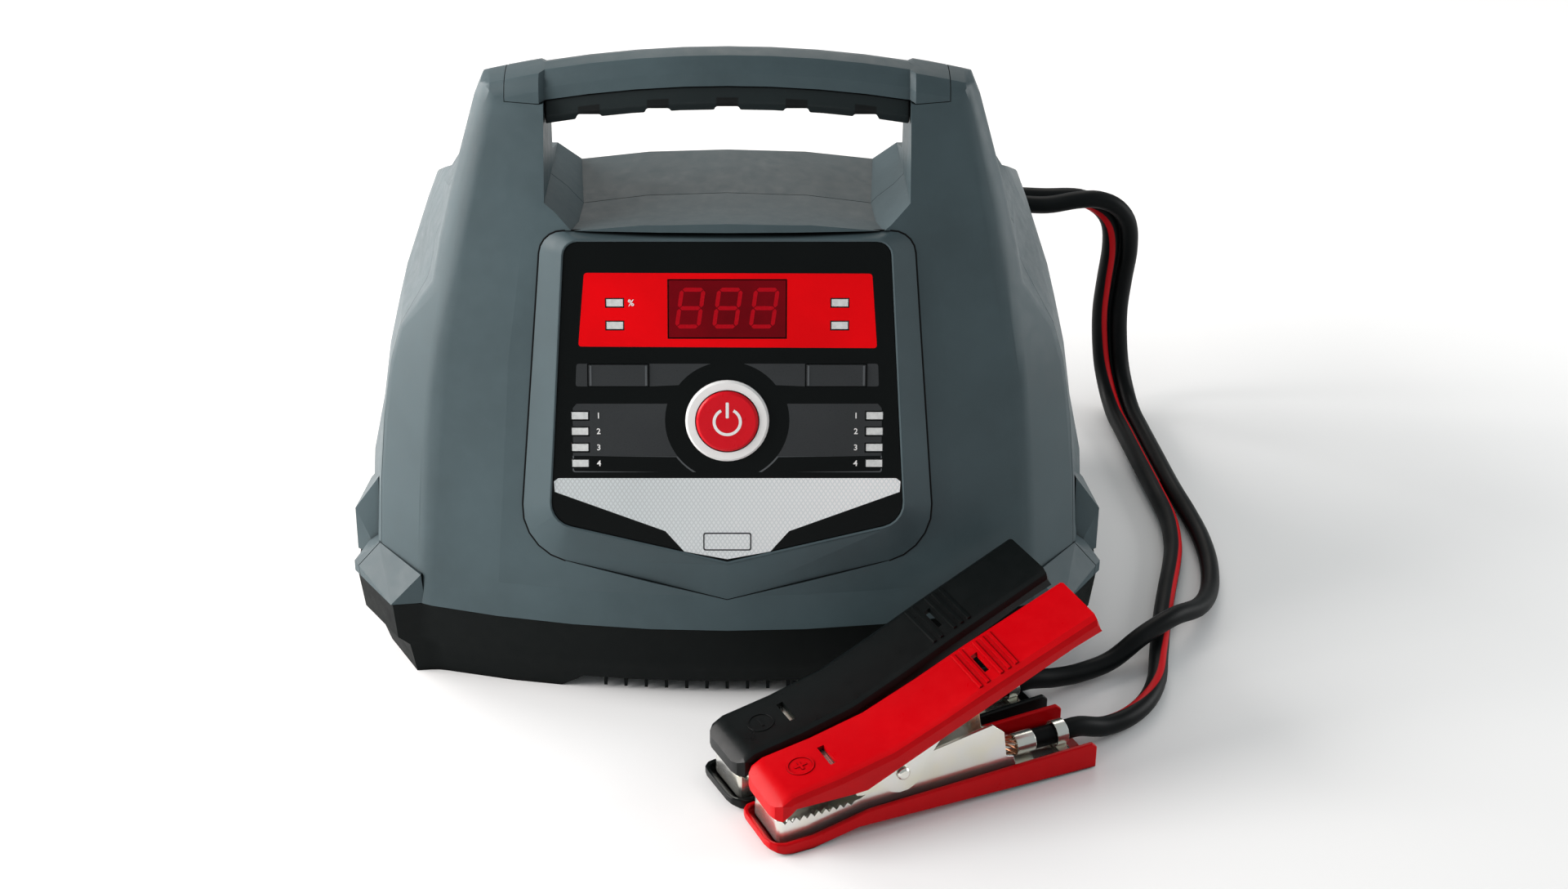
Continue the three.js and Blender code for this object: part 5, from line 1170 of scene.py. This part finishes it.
class CHARGER_OT_clamps(bpy.types.Operator):
    """The red and the black spring clamp"""

    bl_idname = "charger.clamps"
    bl_label = "Clamps"

    def execute(self, context):
        look = settings().clamps
        zinc = plated_steel("clamp_zinc")
        copper = bare_metal("copper_wire", (0.80, 0.36, 0.20), 0.32, (0.2, 1, 1))
        looks = {"red": (look.red_colour, 0.06, 0.12), "black": (look.black_colour, 0.1, 0.2)}
        covers = {
            name: moulded_plastic(f"cover_{name}", tuple(tone), 0.32, 1.2 * MM, 0.02 * MM, patches, shine)
            for name, (tone, patches, shine) in looks.items()
        }
        metal_edges = {
            "upper_jaw": 0.2, "lower_jaw": 0.2, "pivot_rivet": 0.3, "crimp": 0.3, "lead_strap": 0.15,
        }
        for colour, cover in covers.items():
            refined(f"{colour}_upper_cover", cover, look.cover_edge, 3)
            refined(f"{colour}_lower_cover", cover, 0.5 * MM, 2)
            for part, edge in metal_edges.items():
                refined(f"{colour}_{part}", zinc, edge * MM, 2)
            self.spring(colour, zinc)
            self.strands(colour, copper, look.strands)
            self.mark(colour, cover)
        return {"FINISHED"}

    def spring(self, colour, material):
        """A round wire along the spring's line; aside is square to the line and to the coil's axis."""
        path = smooth_route(in_clamp(colour, spring_rows() * MM), 0.35 * MM)
        axis = np.array(in_clamp(colour, [(0, 1, 0)]) - in_clamp(colour, [(0, 0, 0)]))
        tangent = np.gradient(path, axis=0)
        aside = np.cross(tangent, np.broadcast_to(axis, path.shape))
        body = owner(f"{colour}_spring")
        piece = swept_piece(f"{colour}_wire_spring", path, aside, ring(0.9 * MM, 10), material, body)
        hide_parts(f"{colour}_spring")

    def strands(self, colour, material, count):
        """Twisted wires: each lies at radius r and angle a + twist x length, and flares to its cut end."""
        length = np.linspace(STRAND_START, STRAND_END, 14)
        spread = (STRAND_END - length) / (STRAND_END - STRAND_START)
        points, faces = np.empty((0, 3)), []
        for i in range(count):
            outer = i % 2
            angle = 2 * np.pi * i / count + 0.22 * (length - STRAND_START) * (1 if outer else 0.7)
            radius = 2.95 + 0.5 * outer + 0.35 * spread * np.sin(3.1 * i) + 0.2 * spread
            rows = np.column_stack([
                length, radius * np.cos(angle), LEAD_END_HEIGHT / MM + radius * np.sin(angle),
            ]) * MM
            path = in_clamp(colour, rows)
            wire, sides, _ = swept(path, np.broadcast_to([0.0, 0.0, 1.0], path.shape), ring(0.3 * MM, 6))
            faces += [[n + len(points) for n in face] for face in sides]
            points = np.vstack([points, wire])
        new_piece(f"{colour}_strands", points, faces, material, owner(f"{colour}_crimp"))

    def mark(self, colour, material):
        """A raised round plus or minus mark on the sloping nose of the upper cover."""
        slope = math.atan2(NOSE_RISE, NOSE_RUN)
        middle = Vector((MARK_T, 0, NOSE_HEIGHT + (MARK_T - NOSE_START) * NOSE_RISE / NOSE_RUN)) * MM
        place = (
            clamp_matrix(colour) @ Matrix.Translation(middle)
            @ Matrix.Rotation(-slope, 4, "Y") @ Matrix.Rotation(math.radians(-90), 4, "Z")
        )
        outlines = [arc(0, 0, 5.0, 0, 354, 60), arc(0, 0, 4.4, 354, 0, 60)]
        if colour == "red":
            wide, thin = 2.3, 0.45
            outlines.append(np.array([
                (-wide, -thin), (-thin, -thin), (-thin, -wide), (thin, -wide), (thin, -thin), (wide, -thin),
                (wide, thin), (thin, thin), (thin, wide), (-thin, wide), (-thin, thin), (-wide, thin),
            ]))
        else:
            outlines.append(oblong(0, 0, 4.6, 0.9, 0.2))
        flat_print(
            f"{colour}_polarity_mark", outlines, material, -0.1, 0.4,
            f"{colour}_upper_cover", place,
        )


# ---- add-on


class CHARGER_PT_panel(bpy.types.Panel):
    """The charger's pieces and settings"""

    bl_idname = "CHARGER_PT_panel"
    bl_label = "Battery charger"
    bl_space_type = "VIEW_3D"
    bl_region_type = "UI"
    bl_category = "Charger"

    def draw(self, context):
        """A button for each group of pieces, then the settings."""
        for operator in OPERATORS:
            self.layout.operator(operator.bl_idname)
        for name in ("stage", "housing", "panel", "leads", "clamps"):
            group = getattr(context.scene.charger, name)
            column = self.layout.column(heading=name.capitalize())
            for key in group.bl_rna.properties.keys():
                if key not in ("rna_type", "name"):
                    column.prop(group, key)


OPERATORS = (
    CHARGER_OT_stage,
    CHARGER_OT_clamps,
    CHARGER_OT_housing,
    CHARGER_OT_leads,
    CHARGER_OT_inside,
    CHARGER_OT_panel,
)
CLASSES = (
    StageSettings,
    HousingSettings,
    PanelSettings,
    LeadSettings,
    ClampSettings,
    ChargerSettings,
    *OPERATORS,
    CHARGER_PT_panel,
)


def register():
    """Make the classes and the scene's settings known."""
    for cls in CLASSES:
        bpy.utils.register_class(cls)
    bpy.types.Scene.charger = PointerProperty(type=ChargerSettings)


def unregister():
    """Undo register."""
    del bpy.types.Scene.charger
    for cls in reversed(CLASSES):
        bpy.utils.unregister_class(cls)


def main():
    """Build every group in order."""
    register()
    for operator in OPERATORS:
        group, name = operator.bl_idname.split(".")
        getattr(getattr(bpy.ops, group), name)()


if __name__ == "__main__":
    main()
